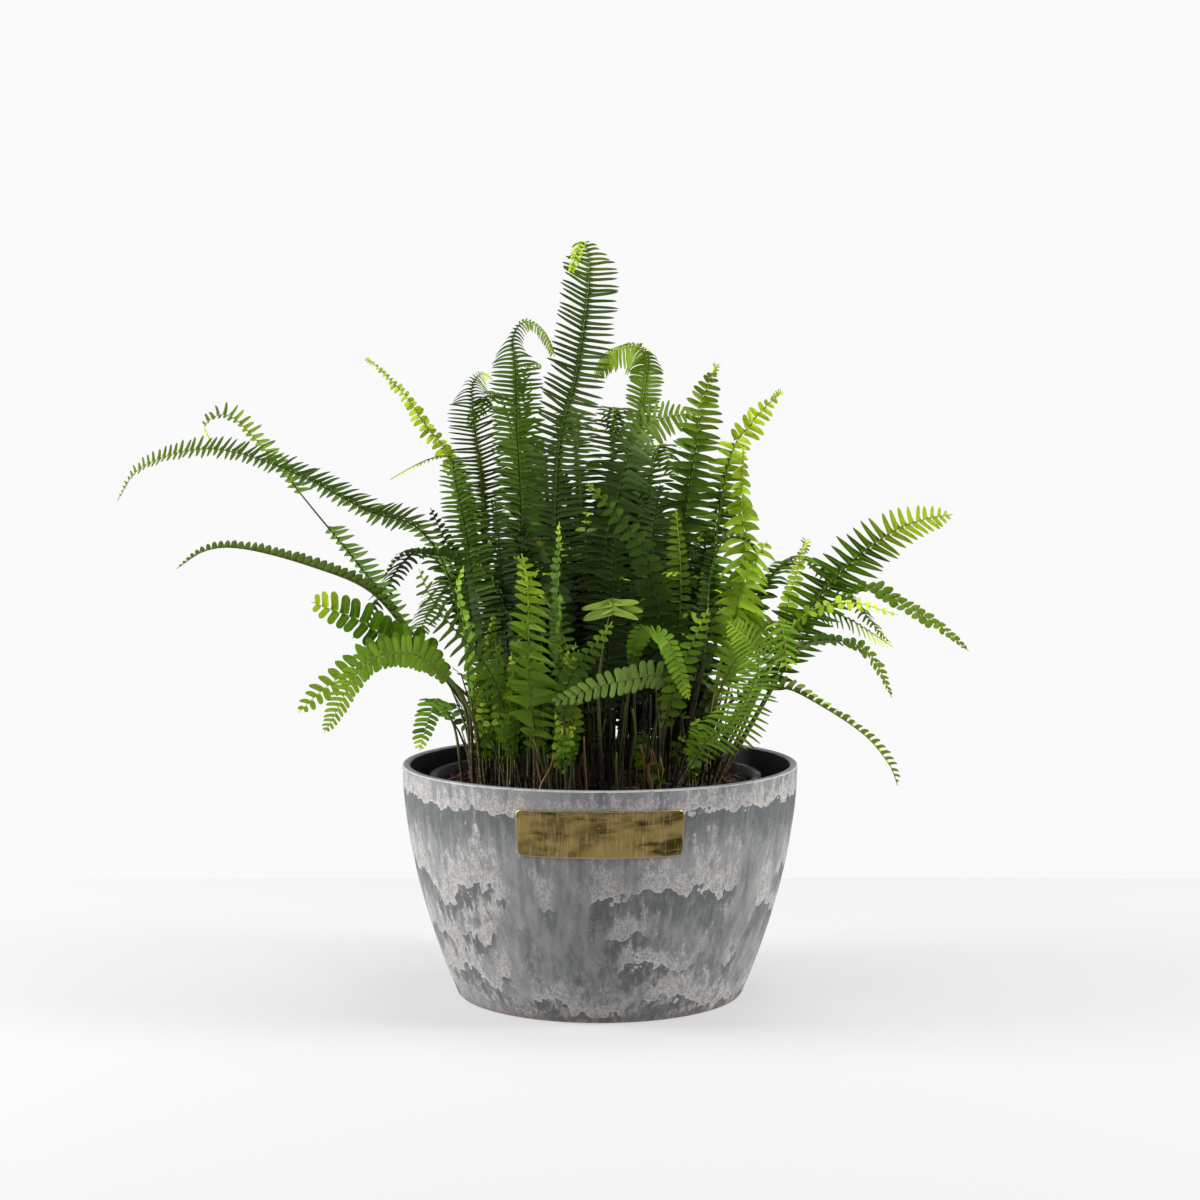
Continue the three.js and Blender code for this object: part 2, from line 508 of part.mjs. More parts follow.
// Every leaflet first tries its natural droop, then bends to the front or back past a
// neighbour, and where that isn't enough it is shorter, or missing.
function growLeaflets(ribs) {
  const lines = [];
  ribs.forEach((rib, owner) => rib.stations.slice(1).forEach((station, index) => {
    const line = new THREE.Line3(rib.stations[index].place, station.place);
    const before = rib.stations[index];
    const radius = Math.hypot(before.halfWidth, before.halfDepth);
    lines.push({ owner, index, line, radius, sphere: ball([line.start, line.end]) });
  }));
  const grown = [];
  const bends = [0, 0.25, -0.25, 0.55, -0.55];
  ribs.forEach((rib, owner) => {
    rib.leaflets = [];
    for (let index = 0; index < rib.pairs; index += 1) {
      for (const sign of [-1, 1]) {
        const fits = (triangle) => {
          if (!clearOfPot(triangle.c) || liesOnRib(rib, index, triangle)) return false;
          const sphere = ball([triangle.a, triangle.b, triangle.c]);
          const near = (other, reach) => {
            const distance = other.sphere.center.distanceTo(sphere.center);
            return distance < other.sphere.radius + sphere.radius + reach;
          };
          const ribClear = lines.every((other) => {
            const reach = other.radius + ribHalfDepth + gap;
            if (!near(other, reach)) return true;
            const apart = other.owner === owner ? Math.abs(other.index - rib.first - index) : 9;
            if (apart === 0) return true;
            if (apart === 1) return lineDistance(other.line, outerPart(triangle)) > other.radius + 0.4;
            return lineDistance(other.line, triangle) > reach;
          });
          if (!ribClear) return false;
          return grown.every((other) => {
            if (!near(other, leafClearance)) return true;
            if (other.owner !== owner) return leafDistance(triangle, other.triangle) > leafClearance;
            const step = index - other.index;
            if (step === 0 || (step === 1 && other.sign !== sign)) return true;
            if (step > 1) return leafDistance(triangle, other.triangle) > 1.6;
            if (step === 1 && crowds(other.triangle, triangle, rib.stations[rib.first + index], sign)) return false;
            const nearest = new THREE.Vector3();
            const toOther = other.triangle.closestPointToPoint(triangle.c, nearest).distanceTo(triangle.c);
            const toThis = triangle.closestPointToPoint(other.triangle.c, nearest).distanceTo(other.triangle.c);
            return Math.min(toOther, toThis) > 1.6;
          });
        };
        let found = null;
        for (const scale of [1, 0.8, 0.6, 0.4]) {
          for (const lift of bends) {
            if (found) break;
            const triangle = leafletTriangle(ribs[owner].frond, rib, index, sign, scale, lift);
            if (fits(triangle)) found = triangle;
          }
        }
        if (found) {
          grown.push({ owner, index, sign, triangle: found, sphere: ball([found.a, found.b, found.c]) });
        }
        rib.leaflets.push(found ? found.c : null);
      }
    }
  });
}

// A frond as one thin closed blade: a rib of four corners a station, whose side faces open
// into pointed leaflets that taper from the rib's own depth.
function buildFrond(rib) {
  const vertices = [];
  const triangles = [];
  for (const { place, right, top, halfWidth, halfDepth } of rib.stations) {
    for (const [across, high] of [[-1, 1], [1, 1], [1, -1], [-1, -1]]) {
      const corner = place.clone().addScaledVector(right, across * halfWidth);
      vertices.push(corner.addScaledVector(top, high * halfDepth));
    }
  }
  const last = rib.stations.length - 1;
  for (let index = 0; index < last; index += 1) {
    const [a0, a1, a2, a3] = [0, 1, 2, 3].map((corner) => 4 * index + corner);
    const [b0, b1, b2, b3] = [0, 1, 2, 3].map((corner) => 4 * index + 4 + corner);
    triangles.push([a0, a1, b1], [a0, b1, b0], [a3, b2, a2], [a3, b3, b2]);
    const pair = index - rib.first;
    const left = pair >= 0 ? rib.leaflets[2 * pair] : null;
    const right = pair >= 0 ? rib.leaflets[2 * pair + 1] : null;
    if (right) {
      const point = vertices.push(right) - 1;
      triangles.push([a1, point, b1], [a2, b2, point], [a1, a2, point], [b1, point, b2]);
    } else {
      triangles.push([a1, a2, b2], [a1, b2, b1]);
    }
    if (left) {
      const point = vertices.push(left) - 1;
      triangles.push([a0, b0, point], [a3, point, b3], [a0, point, a3], [b0, b3, point]);
    } else {
      triangles.push([a0, b3, a3], [a0, b0, b3]);
    }
  }
  const end = 4 * last;
  const tip = vertices.push(rib.tip) - 1;
  triangles.push([0, 3, 2], [0, 2, 1]);
  triangles.push([end, end + 1, tip], [end + 1, end + 2, tip], [end + 2, end + 3, tip], [end + 3, end, tip]);
  const geometry = new THREE.BufferGeometry().setFromPoints(vertices);
  geometry.setIndex(triangles.flat());
  return geometry;
}

const finishes = {
  planter: new THREE.MeshStandardMaterial({ color: 0x8b8d90, roughness: 0.7, metalness: 0 }),
  brass: new THREE.MeshStandardMaterial({ color: 0x8a7440, roughness: 0.38, metalness: 1 }),
  pot: new THREE.MeshStandardMaterial({ color: 0x1c1d1e, roughness: 0.5, metalness: 0 }),
  soil: new THREE.MeshStandardMaterial({ color: 0x3a241a, roughness: 0.95, metalness: 0 }),
  leaf: new THREE.MeshStandardMaterial({ color: 0x4f7a2c, roughness: 0.45, metalness: 0 }),
};

const fern = new THREE.Group();

function add(name, geometry, material) {
  const mesh = new THREE.Mesh(geometry, material);
  mesh.name = name;
  fern.add(mesh);
}

const ribs = fronds.map((frond) => ({ ...ribStations(frond), frond }));
growLeaflets(ribs);

add('planter', buildPlanter(), finishes.planter);
add('name_plate', buildPlate(), finishes.brass);
add('grow_pot', buildGrowPot(), finishes.pot);
add('soil', buildSoil(), finishes.soil);
for (const rib of ribs) add(`frond_${rib.frond.name}`, buildFrond(rib), finishes.leaf);

export default fern;
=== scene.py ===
"""Kimberly queen fern in a grow pot, standing in a stone-look planter with a brass plate.

Everything is in metres in the part's own frame: +Z up, -Y to the front, the origin at the
centre of the planter's underside.
"""

import json
import logging
import math
import random
from dataclasses import dataclass, field
from enum import Enum
from functools import reduce
from typing import Callable, Optional, Union

import bmesh
import bpy
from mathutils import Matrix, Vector, noise

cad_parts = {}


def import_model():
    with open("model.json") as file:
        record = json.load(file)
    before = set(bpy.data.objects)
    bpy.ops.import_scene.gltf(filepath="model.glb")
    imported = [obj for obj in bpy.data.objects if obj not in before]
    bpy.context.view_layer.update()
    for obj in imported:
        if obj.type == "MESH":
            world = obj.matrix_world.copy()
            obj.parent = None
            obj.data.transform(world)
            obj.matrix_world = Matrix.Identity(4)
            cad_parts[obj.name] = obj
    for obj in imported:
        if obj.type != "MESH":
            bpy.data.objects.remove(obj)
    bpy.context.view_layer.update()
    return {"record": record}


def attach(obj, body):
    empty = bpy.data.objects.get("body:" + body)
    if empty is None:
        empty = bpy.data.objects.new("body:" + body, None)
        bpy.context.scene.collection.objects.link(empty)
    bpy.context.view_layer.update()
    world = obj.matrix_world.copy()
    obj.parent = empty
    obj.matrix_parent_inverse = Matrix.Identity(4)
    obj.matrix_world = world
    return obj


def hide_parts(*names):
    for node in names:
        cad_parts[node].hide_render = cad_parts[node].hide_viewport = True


LOG = logging.getLogger("fern")

MM = 0.001
BODY = "root"
Colour = tuple[float, float, float]
Pair = tuple[float, float]
Triple = tuple[float, float, float]
BMesh = bmesh.types.BMesh
Material = bpy.types.Material
Socket = bpy.types.NodeSocket


def smooth(low: float, high: float, value: float) -> float:
    """Returns 0 below low, 1 above high and a smooth step between them."""
    share = min(max((value - low) / (high - low), 0.0), 1.0)
    return share * share * (3.0 - 2.0 * share)


def mix(one: float, other: float, share: float) -> float:
    """Returns the value at share of the way from one to other."""
    return one + (other - one) * share


class Value:
    """A shader number that Python's operators work on by adding Math nodes."""

    def __init__(self, shader: "Shader", socket: Socket) -> None:
        """Wraps a socket.

        Args:
            shader: The shader whose node tree holds the socket.
            socket: An output socket that carries one number.
        """
        self.shader = shader
        self.socket = socket

    def math(self, operation: str, *others: "Number", first: bool = True) -> "Value":
        """Adds one Math node.

        Args:
            operation: The node's operation.
            others: The other operands, numbers or values.
            first: False puts this value second, for a reflected operator.

        Returns:
            The node's result.
        """
        operands = [self, *others] if first else [*others, self]
        inputs = dict(enumerate(operands))
        return self.shader.value("ShaderNodeMath", "Value", {"operation": operation}, inputs)

    def __add__(self, other: "Number") -> "Value":
        """Returns the sum."""
        return self.math("ADD", other)

    __radd__ = __add__

    def __sub__(self, other: "Number") -> "Value":
        """Returns the difference."""
        return self.math("SUBTRACT", other)

    def __rsub__(self, other: "Number") -> "Value":
        """Returns the reflected difference."""
        return self.math("SUBTRACT", other, first=False)

    def __mul__(self, other: "Number") -> "Value":
        """Returns the product."""
        return self.math("MULTIPLY", other)

    __rmul__ = __mul__

    def __pow__(self, other: "Number") -> "Value":
        """Returns the power."""
        return self.math("POWER", other)

    def __abs__(self) -> "Value":
        """Returns the size without the sign."""
        return self.math("ABSOLUTE")

    def greatest(self, other: "Number") -> "Value":
        """Returns the greater of the two."""
        return self.math("MAXIMUM", other)

    def wave(self) -> "Value":
        """Returns the sine."""
        return self.math("SINE")

    def step(self, low: "Number", high: "Number") -> "Value":
        """Returns a smooth step from 0 at low to 1 at high."""
        settings = {"interpolation_type": "SMOOTHSTEP", "clamp": True}
        inputs = {"Value": self, "From Min": low, "From Max": high}
        return self.shader.value("ShaderNodeMapRange", "Result", settings, inputs)


Number = Union[float, Value]
Input = Union[float, Triple, Value, Socket]


class Shader:
    """The node tree of a material or a world, and the short ways to fill it."""

    def __init__(self, name: str, world: Optional[bpy.types.World] = None) -> None:
        """Starts with an empty node tree.

        Args:
            name: The new material's name.
            world: The world to fill instead of a new material.
        """
        self.owner = world or bpy.data.materials.new(name)
        self.owner.use_nodes = True
        self.tree = self.owner.node_tree
        self.tree.nodes.clear()

    def node(self, kind: str, settings: Optional[dict] = None,
             inputs: Optional[dict] = None) -> bpy.types.Node:
        """Adds a node.

        Args:
            kind: The node's type.
            settings: Its properties, such as a Math node's operation, which are set first.
            inputs: A value or a link for each socket, by name or number.

        Returns:
            The node.
        """
        node = self.tree.nodes.new(kind)
        for key, value in (settings or {}).items():
            setattr(node, key, value)
        for key, value in (inputs or {}).items():
            self._feed(node.inputs[key], value)
        return node

    def value(self, kind: str, output: str, settings: Optional[dict] = None,
              inputs: Optional[dict] = None) -> Value:
        """Adds a node and returns one of its outputs as a number.

        Args:
            kind: The node's type.
            output: The output socket's name.
            settings: As for node.
            inputs: As for node.

        Returns:
            The output.
        """
        return Value(self, self.node(kind, settings, inputs).outputs[output])

    def blend(self, share: Input, one: Input, other: Input) -> Socket:
        """Mixes two colours.

        Args:
            share: How much of other shows.
            one: The first colour.
            other: The second colour.

        Returns:
            The mixed colour's socket.
        """
        # The node has sockets for numbers, vectors and colours by the same names, so they go by number.
        inputs = {0: share, 6: one, 7: other}
        return self.node("ShaderNodeMix", {"data_type": "RGBA"}, inputs).outputs[2]

    def noise(self, scale: float, detail: float, roughness: float, stretch: Triple = (1.0, 1.0, 1.0),
              shift: Triple = (0.0, 0.0, 0.0)) -> Value:
        """Returns a noise of about 0 to 1 over the object.

        Args:
            scale: Cells to a metre.
            detail: Its octaves.
            roughness: How strong the finer octaves are.
            stretch: As for place: a small factor draws the cells out along that axis.
            shift: As for place: it sets one noise apart from another.

        Returns:
            The noise.
        """
        where = self.place(stretch, shift)
        inputs = {"Vector": where, "Scale": scale, "Detail": detail, "Roughness": roughness}
        return self.value("ShaderNodeTexNoise", "Fac", None, inputs)

    def place(self, stretch: Triple = (1.0, 1.0, 1.0),
              shift: Triple = (0.0, 0.0, 0.0)) -> Socket:
        """Returns the point's object coordinates, stretched and shifted.

        Args:
            stretch: A factor for each axis.
            shift: Added after the stretch.

        Returns:
            The vector's socket.
        """
        point = self.node("ShaderNodeTexCoord").outputs["Object"]
        inputs = {"Vector": point, "Location": shift, "Scale": stretch}
        return self.node("ShaderNodeMapping", {"vector_type": "POINT"}, inputs).outputs["Vector"]

    def parts(self, vector: Socket) -> tuple[Value, Value, Value]:
        """Returns a vector's three numbers."""
        split = self.node("ShaderNodeSeparateXYZ", None, {"Vector": vector})
        return tuple(Value(self, split.outputs[axis]) for axis in "XYZ")

    def uv(self, name: str) -> tuple[Value, Value, Value]:
        """Returns the numbers of one of the piece's own UV maps."""
        return self.parts(self.node("ShaderNodeUVMap", {"uv_map": name}).outputs["UV"])

    def growth(self) -> tuple[Value, Value, Value]:
        """Returns a leaf's or stem's own numbers: its chance tone, its youth and its wear."""
        return self.parts(self.node("ShaderNodeAttribute", {"attribute_name": "growth"}).outputs["Color"])

    def bump(self, height: Value, depth: float, strength: float) -> Socket:
        """Turns a height into a normal.

        Args:
            height: 0 to 1 over the surface.
            depth: The relief's depth in metres.
            strength: The Bump node's strength.

        Returns:
            The normal's socket.
        """
        inputs = {"Height": height, "Distance": depth, "Strength": strength}
        return self.node("ShaderNodeBump", None, inputs).outputs["Normal"]

    def radius(self) -> Value:
        """Returns the distance from the planter's axis."""
        across, back, _ = self.parts(self.place())
        return (across * across + back * back) ** 0.5

    def painted_crown_shade(self, radii: Pair = (0.06, 0.13), heights: Pair = (0.26, 0.47)) -> Value:
        """Returns 1 low in the middle of the crown, where shade is painted into the colour, and 0 outside it.

        Args:
            radii: The distances from the axis between which it fades.
            heights: The heights between which it fades.

        Returns:
            How much painted shade goes there.
        """
        _, _, height = self.parts(self.place())
        return (1.0 - self.radius().step(*radii)) * (1.0 - height.step(*heights))

    def finish(self, inputs: dict) -> Material:
        """Ends the tree with one principled shader.

        Args:
            inputs: The shader's sockets.

        Returns:
            The material.
        """
        surface = self.node("ShaderNodeBsdfPrincipled", None, inputs).outputs["BSDF"]
        self.node("ShaderNodeOutputMaterial", None, {"Surface": surface})
        return self.owner

    def _feed(self, socket: Socket, value: Input) -> None:
        """Sets or links one input socket."""
        if isinstance(value, Value):
            self.tree.links.new(value.socket, socket)
        elif isinstance(value, Socket):
            self.tree.links.new(value, socket)
        elif isinstance(value, tuple) and len(value) == 3 and socket.type == "RGBA":
            socket.default_value = (*value, 1.0)
        else:
            socket.default_value = value


@dataclass(frozen=True)
class CloudBand:
    """One row of the planter's pale clouds, in metres.

    Its lower edge wanders about level by swing, and its clouds fade out within reach above that.
    seed picks a stretch of the noises, and missing is about the share with no cloud.
    """

    level: float
    swing: float
    reach: float
    seed: float
    missing: float


@dataclass(frozen=True)
class StoneFinish:
    """Moulded planter: blue-grey brush streaks under rows of pale clouds laced with white.

    Each cloud has a scalloped lower edge, with a dark stain below it, and fades upwards in wisps.
    In metres, ragged is how deep the scallops are, rise how soon a cloud is whole above its lower
    edge, lip how high the white on that edge reaches, drip how far down the stain does, speckled
    how high the specks at the foot do, and rusty the heights between which the rust fades.
    """

    deep: Colour = (0.1, 0.108, 0.109)
    middle: Colour = (0.245, 0.251, 0.253)
    cloud: Colour = (0.275, 0.263, 0.257)
    lace: Colour = (0.56, 0.54, 0.525)
    rust: Colour = (0.17, 0.11, 0.09)
    roughness: float = 0.62
    ragged: float = 0.014
    rise: float = 0.0009
    lip: float = 0.0026
    drip: float = 0.034
    speckled: float = 0.075
    rusty: Pair = (0.001, 0.010)
    bands: tuple[CloudBand, ...] = (
        CloudBand(0.1585, 0.012, 0.022, 0.0, 0.0),
        CloudBand(0.096, 0.060, 0.044, 3.1, 0.40),
        CloudBand(0.064, 0.070, 0.032, 7.7, 0.47),
        CloudBand(0.036, 0.060, 0.026, 12.4, 0.45),
        CloudBand(0.013, 0.036, 0.020, 19.3, 0.42),
    )

    def build(self) -> Material:
        """Returns the material."""
        s = Shader("planter_stone")
        _, _, height = s.parts(s.place())
        streak = s.noise(170.0, 5.0, 0.65, (1.0, 1.0, 0.05))
        wash = s.noise(16.0, 4.0, 0.55, (1.0, 1.0, 0.5), (0.7, 0.2, 0.4))
        flame = s.noise(150.0, 5.0, 0.68, (1.0, 1.0, 0.35), (0.1, 0.6, 0.0))
        scallop = self._cells(s, 95.0) * 0.65 + self._cells(s, 240.0) * 0.35
        covers, stains, edges = [], [], []
        for band in self.bands:
            above = self._above(s, height, band) + (0.42 - scallop) * self.ragged
            present = self._present(s, band)
            risen = above.step(0.0, self.rise)
            body = (1.25 - above * (1.0 / band.reach) + (flame - 0.5) * 3.4).step(0.35, 0.95)
            covers.append(risen * body * present)
            stains.append((1.0 - (0.0 - above).step(0.0, self.drip)) * (1.0 - risen) * present)
            edges.append(covers[-1] * (1.0 - above.step(self.rise, self.lip)))
        cover, stain, edge = (reduce(Value.greatest, layers) for layers in (covers, stains, edges))
        low = 1.0 - height.step(0.0, self.speckled)
        specks = s.noise(150.0, 5.0, 0.7, (1.0, 1.0, 0.6), (0.9, 0.4, 0.2)).step(0.47, 0.62)
        cover = cover.greatest(specks * (low * 0.75 + 0.12))
        tone = stain * 0.62 + (streak - 0.5) * 1.9 + (0.5 - wash) * 1.3 + 0.3
        base = s.blend(tone.step(0.0, 1.0), self.middle, self.deep)
        lines = self._lines(s, 210.0, 0.0).greatest(self._lines(s, 430.0, 0.5) * 0.8)
        patch = s.blend((lines * 0.8).greatest(edge * 0.7), self.cloud, self.lace)
        colour = s.blend(cover, base, patch)
        colour = s.blend(lines * (flame.step(0.5, 0.68) * 0.35), colour, self.lace)
        foot = 1.0 - height.step(*self.rusty)
        colour = s.blend(foot * 0.45, colour, self.rust)
        return s.finish({
            "Base Color": colour,
            "Roughness": cover * 0.12 + (self.roughness - 0.08),
            "Specular IOR Level": 0.3,
            "Normal": s.bump(cover * 0.5 + lines * 0.3 + streak * 0.2, 0.0004, 0.6),
        })

    @staticmethod
    def _cells(s: Shader, scale: float) -> Value:
        """Returns the distance to the nearest of many scattered points, which makes round scallops."""
        inputs = {"Vector": s.place((1.0, 1.0, 1.15)), "Scale": scale}
        return s.value("ShaderNodeTexVoronoi", "Distance", {"feature": "F1"}, inputs)

    @staticmethod
    def _lines(s: Shader, scale: float, shift: float) -> Value:
        """Returns thin curling lines: where a noise is close to its middle."""
        tangle = s.noise(scale, 4.0, 0.68, (1.0, 1.0, 0.62), (shift, 0.3, shift))
        return 1.0 - abs(tangle - 0.5).step(0.008, 0.032)

    @staticmethod
    def _above(s: Shader, height: Value, band: CloudBand) -> Value:
        """Returns how far above a band's wandering lower edge each place is."""
        wander = s.noise(15.0, 4.0, 0.6, (1.0, 1.0, 0.05), (band.seed, band.seed, 0.0))
        return height - ((wander - 0.5) * (2.0 * band.swing) + band.level)

    @staticmethod
    def _present(s: Shader, band: CloudBand) -> Value:
        """Returns where a band has clouds at all."""
        gaps = s.noise(13.0, 2.0, 0.5, (1.0, 1.0, 0.15), (band.seed, 0.3, band.seed))
        return gaps.step(band.missing, band.missing + 0.06)


@dataclass(frozen=True)
class InnerWallFinish:
    """The planter's charcoal inside."""

    colour: Colour = (0.006, 0.0075, 0.007)
    pale_tone: Colour = (0.018, 0.02, 0.0195)

    def build(self) -> Material:
        """Returns the material."""
        s = Shader("planter_inside")
        streak = s.noise(120.0, 4.0, 0.6, (1.0, 1.0, 0.15))
        colour = s.blend(streak.step(0.45, 0.8), self.colour, self.pale_tone)
        return s.finish({"Base Color": colour, "Roughness": streak * 0.2 + 0.45})


@dataclass(frozen=True)
class RimFinish:
    """The planter's flat rim: smooth grey, dusty in patches, with a painted highlight along both rounded
    edges. The last field is that highlight's width.
    """

    colour: Colour = (0.2, 0.205, 0.21)
    dusty: Colour = (0.3, 0.29, 0.285)
    pale_tone: Colour = (0.6, 0.6, 0.6)
    middle: float = 149.6 * MM
    half: float = 2.9 * MM
    pale_spread: float = 1.3 * MM

    def build(self) -> Material:
        """Returns the material."""
        s = Shader("planter_rim")
        edge = abs(s.radius() - self.middle).step(self.half - self.pale_spread, self.half)
        grain = s.noise(160.0, 5.0, 0.65)
        # Painted highlight: both edges of the rim are painted paler, broken up by the grain.
        colour = s.blend(edge * 0.8 * grain.step(0.25, 0.55), self.colour, self.pale_tone)
        colour = s.blend(grain.step(0.5, 0.9) * 0.5, colour, self.dusty)
        return s.finish({
            "Base Color": colour,
            "Roughness": grain * 0.2 + 0.4,
            "Normal": s.bump(grain, 0.0002, 0.5),
        })


@dataclass(frozen=True)
class BrassFinish:
    """Antique brass: brushed upright, bright on its raised edge, dark in its tarnished patches."""

    gold: Colour = (0.26, 0.19, 0.068)
    tarnish: Colour = (0.05, 0.034, 0.01)
    bright: Colour = (0.62, 0.5, 0.26)

    def build(self) -> Material:
        """Returns the material."""
        s = Shader("antique_brass")
        grain = s.noise(900.0, 4.0, 0.6, (1.0, 0.2, 0.06))
        smear = s.noise(34.0, 4.0, 0.6, (1.0, 0.2, 1.6), (0.2, 0.0, 0.3))
        stain = s.noise(42.0, 5.0, 0.66, (0.5, 0.2, 3.2), (0.6, 0.0, 0.8))
        dark = smear.step(0.38, 0.62) * 0.6 + stain.step(0.5, 0.66) * 0.5
        colour = s.blend(dark.step(0.0, 1.0), self.gold, self.tarnish)
        colour = s.blend(grain.step(0.5, 0.75) * 0.4, colour, self.bright)
        edge, _, _ = s.uv("plate")
        colour = s.blend(edge.step(0.55, 0.95) * 0.75, colour, self.bright)
        return s.finish({
            "Base Color": colour,
            "Metallic": 1.0,
            "Roughness": dark * 0.18 + grain * 0.12 + 0.3,
            "Normal": s.bump(grain * 0.6 + smear * 0.4, 0.00025, 0.5),
        })


@dataclass(frozen=True)
class PotFinish:
    """Black nursery plastic, dusty with soil, and scuffed pale between two heights of the flange."""

    colour: Colour = (0.011, 0.012, 0.012)
    scuff: Colour = (0.3, 0.32, 0.33)
    earth: Colour = (0.035, 0.027, 0.02)
    rubbed: Pair = (0.165, 0.1695)

    def build(self) -> Material:
        """Returns the material."""
        s = Shader("grow_pot_plastic")
        _, _, height = s.parts(s.place())
        high = height.step(*self.rubbed)
        pale_spread = s.noise(46.0, 6.0, 0.7, shift=(0.3, 0.4, 0.0))
        fine = s.noise(600.0, 3.0, 0.6)
        dust = s.noise(90.0, 5.0, 0.66, shift=(0.9, 0.1, 0.5))
        mask = high * pale_spread.step(0.52, 0.66) * fine.step(0.35, 0.6)
        colour = s.blend(mask * 0.8, self.colour, self.scuff)
        colour = s.blend(dust.step(0.55, 0.8) * 0.5, colour, self.earth)
        return s.finish({
            "Base Color": colour,
            "Roughness": fine * 0.2 + 0.32,
            "Normal": s.bump(fine, 0.0001, 0.4),
        })


@dataclass(frozen=True)
class SoilFinish:
    """Bark and peat, from black-brown crumbs to reddish chips."""

    name: str
    dark: Colour
    warm: Colour

    def build(self) -> Material:
        """Returns the material."""
        s = Shader(self.name)
        crumb = s.noise(420.0, 5.0, 0.7)
        patch = s.noise(70.0, 4.0, 0.6, shift=(0.4, 0.1, 0.7))
        colour = s.blend((crumb * 0.6 + patch * 0.5).step(0.45, 0.8), self.dark, self.warm)
        return s.finish({"Base Color": colour, "Roughness": 0.92, "Normal": s.bump(crumb, 0.0008, 0.9)})


@dataclass(frozen=True)
class LeafFinish:
    """A frond's leaflets: green, limier where young, paler below, with a pale midrib.

    leaf and dark are the lighter and the deeper green of its face, tip its young colour, under its
    underside's, and brown that of withered ends. shade is the colour of the painted shade that
    darkens it deep in the crown. gloss is its roughness, and freckles how much its rusty freckles
    show, whose colour is freckle.
    """

    name: str
    leaf: Colour
    dark: Colour
    tip: Colour
    under: Colour
    gloss: float = 0.4
    freckles: float = 0.0
    brown: Colour = (0.14, 0.075, 0.026)
    freckle: Colour = (0.36, 0.11, 0.03)
    shade: Colour = (0.003, 0.008, 0.001)

    def build(self) -> Material:
        """Returns the material."""
        s = Shader(self.name)
        across, along, _ = s.uv("leaf")
        below = across.step(1.4, 1.6)
        middle = abs(across - below * 2.0 - 0.5)
        chance, youth, wear = s.growth()
        mottle = s.noise(260.0, 4.0, 0.6)
        cloud = s.noise(34.0, 2.0, 0.5, shift=(0.3, 0.8, 0.1))
        tone = (chance * 0.5 + mottle * 0.3 + cloud * 0.4 + along * 0.25).step(0.3, 1.05)
        colour = s.blend(tone, self.dark, self.leaf)
        colour = s.blend((youth + (mottle - 0.5) * 0.3 * youth).step(0.0, 1.0), colour, self.tip)
        midrib = 1.0 - middle.step(0.02, 0.08)
        vein = ((along * 70.0 + middle * 34.0).wave() * 0.5 + 0.5) ** 3.0
        colour = s.blend(vein * 0.08, colour, self.tip)
        colour = s.blend((midrib * 0.25).greatest((1.0 - along.step(0.02, 0.1)) * 0.4), colour, self.tip)
        colour = s.blend(below * 0.7, colour, self.under)
        withered = (wear + (mottle - 0.5) * 0.5 + along * 0.25).step(1.12, 1.26)
        colour = s.blend(withered * 0.85, colour, self.brown)
        if self.freckles:
            spot = s.noise(95.0, 3.0, 0.6, shift=(0.5, 0.2, 0.9))
            colour = s.blend(spot.step(0.63, 0.72) * self.freckles, colour, self.freckle)
        # Painted shade: the leaflets are darkened low in the crown's middle.
        colour = s.blend(s.painted_crown_shade() * 0.7, colour, self.shade)
        relief = (1.0 - midrib) * 0.7 + vein * 0.3
        return s.finish({
            "Base Color": colour,
            "Roughness": mottle * 0.16 + (self.gloss - 0.08) + below * 0.14,
            "Specular IOR Level": 0.14,
            "Normal": s.bump(relief, 0.0003, 0.5),
        })


@dataclass(frozen=True)
class StemFinish:
    """A frond's stem and rib: brown and scaly at the soil, greener towards the blade.

    low, high and tip are its colours at the soil, along the blade and at a young end, scale is
    that of its papery scales, and shade the colour of the painted shade that darkens it deep in the
    crown.
    """

    name: str
    low: Colour
    high: Colour
    tip: Colour
    scale: Colour = (0.4, 0.36, 0.27)
    scaliness: float = 0.6
    shade: Colour = (0.006, 0.006, 0.003)

    def build(self) -> Material:
        """Returns the material."""
        s = Shader(self.name)
        _, along, _ = s.uv("leaf")
        _, youth, _ = s.growth()
        patch = s.noise(160.0, 4.0, 0.65, (1.0, 1.0, 0.4))
        colour = s.blend((along + (patch - 0.5) * 0.5).step(0.08, 0.45), self.low, self.high)
        colour = s.blend(youth, colour, self.tip)
        fuzz = s.noise(620.0, 4.0, 0.7, (1.0, 1.0, 0.6), (0.2, 0.6, 0.1))
        scaly = (1.0 - along.step(0.1, 0.5)) * fuzz.step(0.52, 0.64)
        colour = s.blend(scaly * self.scaliness, colour, self.scale)
        # Painted shade: the stem is darkened low in the crown's middle.
        colour = s.blend(s.painted_crown_shade() * 0.6, colour, self.shade)
        return s.finish({
            "Base Color": colour,
            "Roughness": 0.6,
            "Specular IOR Level": 0.2,
            "Normal": s.bump(fuzz, 0.0004, 0.7),
        })


@dataclass(frozen=True)
class FloorFinish:
    """The plain pale floor, which glows a little so that its shadows stay soft."""

    colour: Colour = (0.24, 0.24, 0.24)
    glow: float = 0.5

    def build(self) -> Material:
        """Returns the material."""
        s = Shader("studio_floor")
        return s.finish({
            "Base Color": self.colour,
            "Roughness": 0.85,
            "Specular IOR Level": 0.2,
            "Emission Color": (1.0, 1.0, 1.0),
            "Emission Strength": self.glow,
        })


def new_piece(name: str, bm: BMesh, materials: list[Material]) -> bpy.types.Object:
    """Makes a smooth-shaded object from a bmesh, and frees the bmesh.

    Args:
        name: The piece's name.
        bm: The finished mesh, in the part's frame.
        materials: Its material slots.

    Returns:
        The object.
    """
    mesh = bpy.data.meshes.new(name)
    bm.to_mesh(mesh)
    bm.free()
    mesh.polygons.foreach_set("use_smooth", [True] * len(mesh.polygons))
    for material in materials:
        mesh.materials.append(material)
    piece = bpy.data.objects.new(name, mesh)
    bpy.context.scene.collection.objects.link(piece)
    return piece


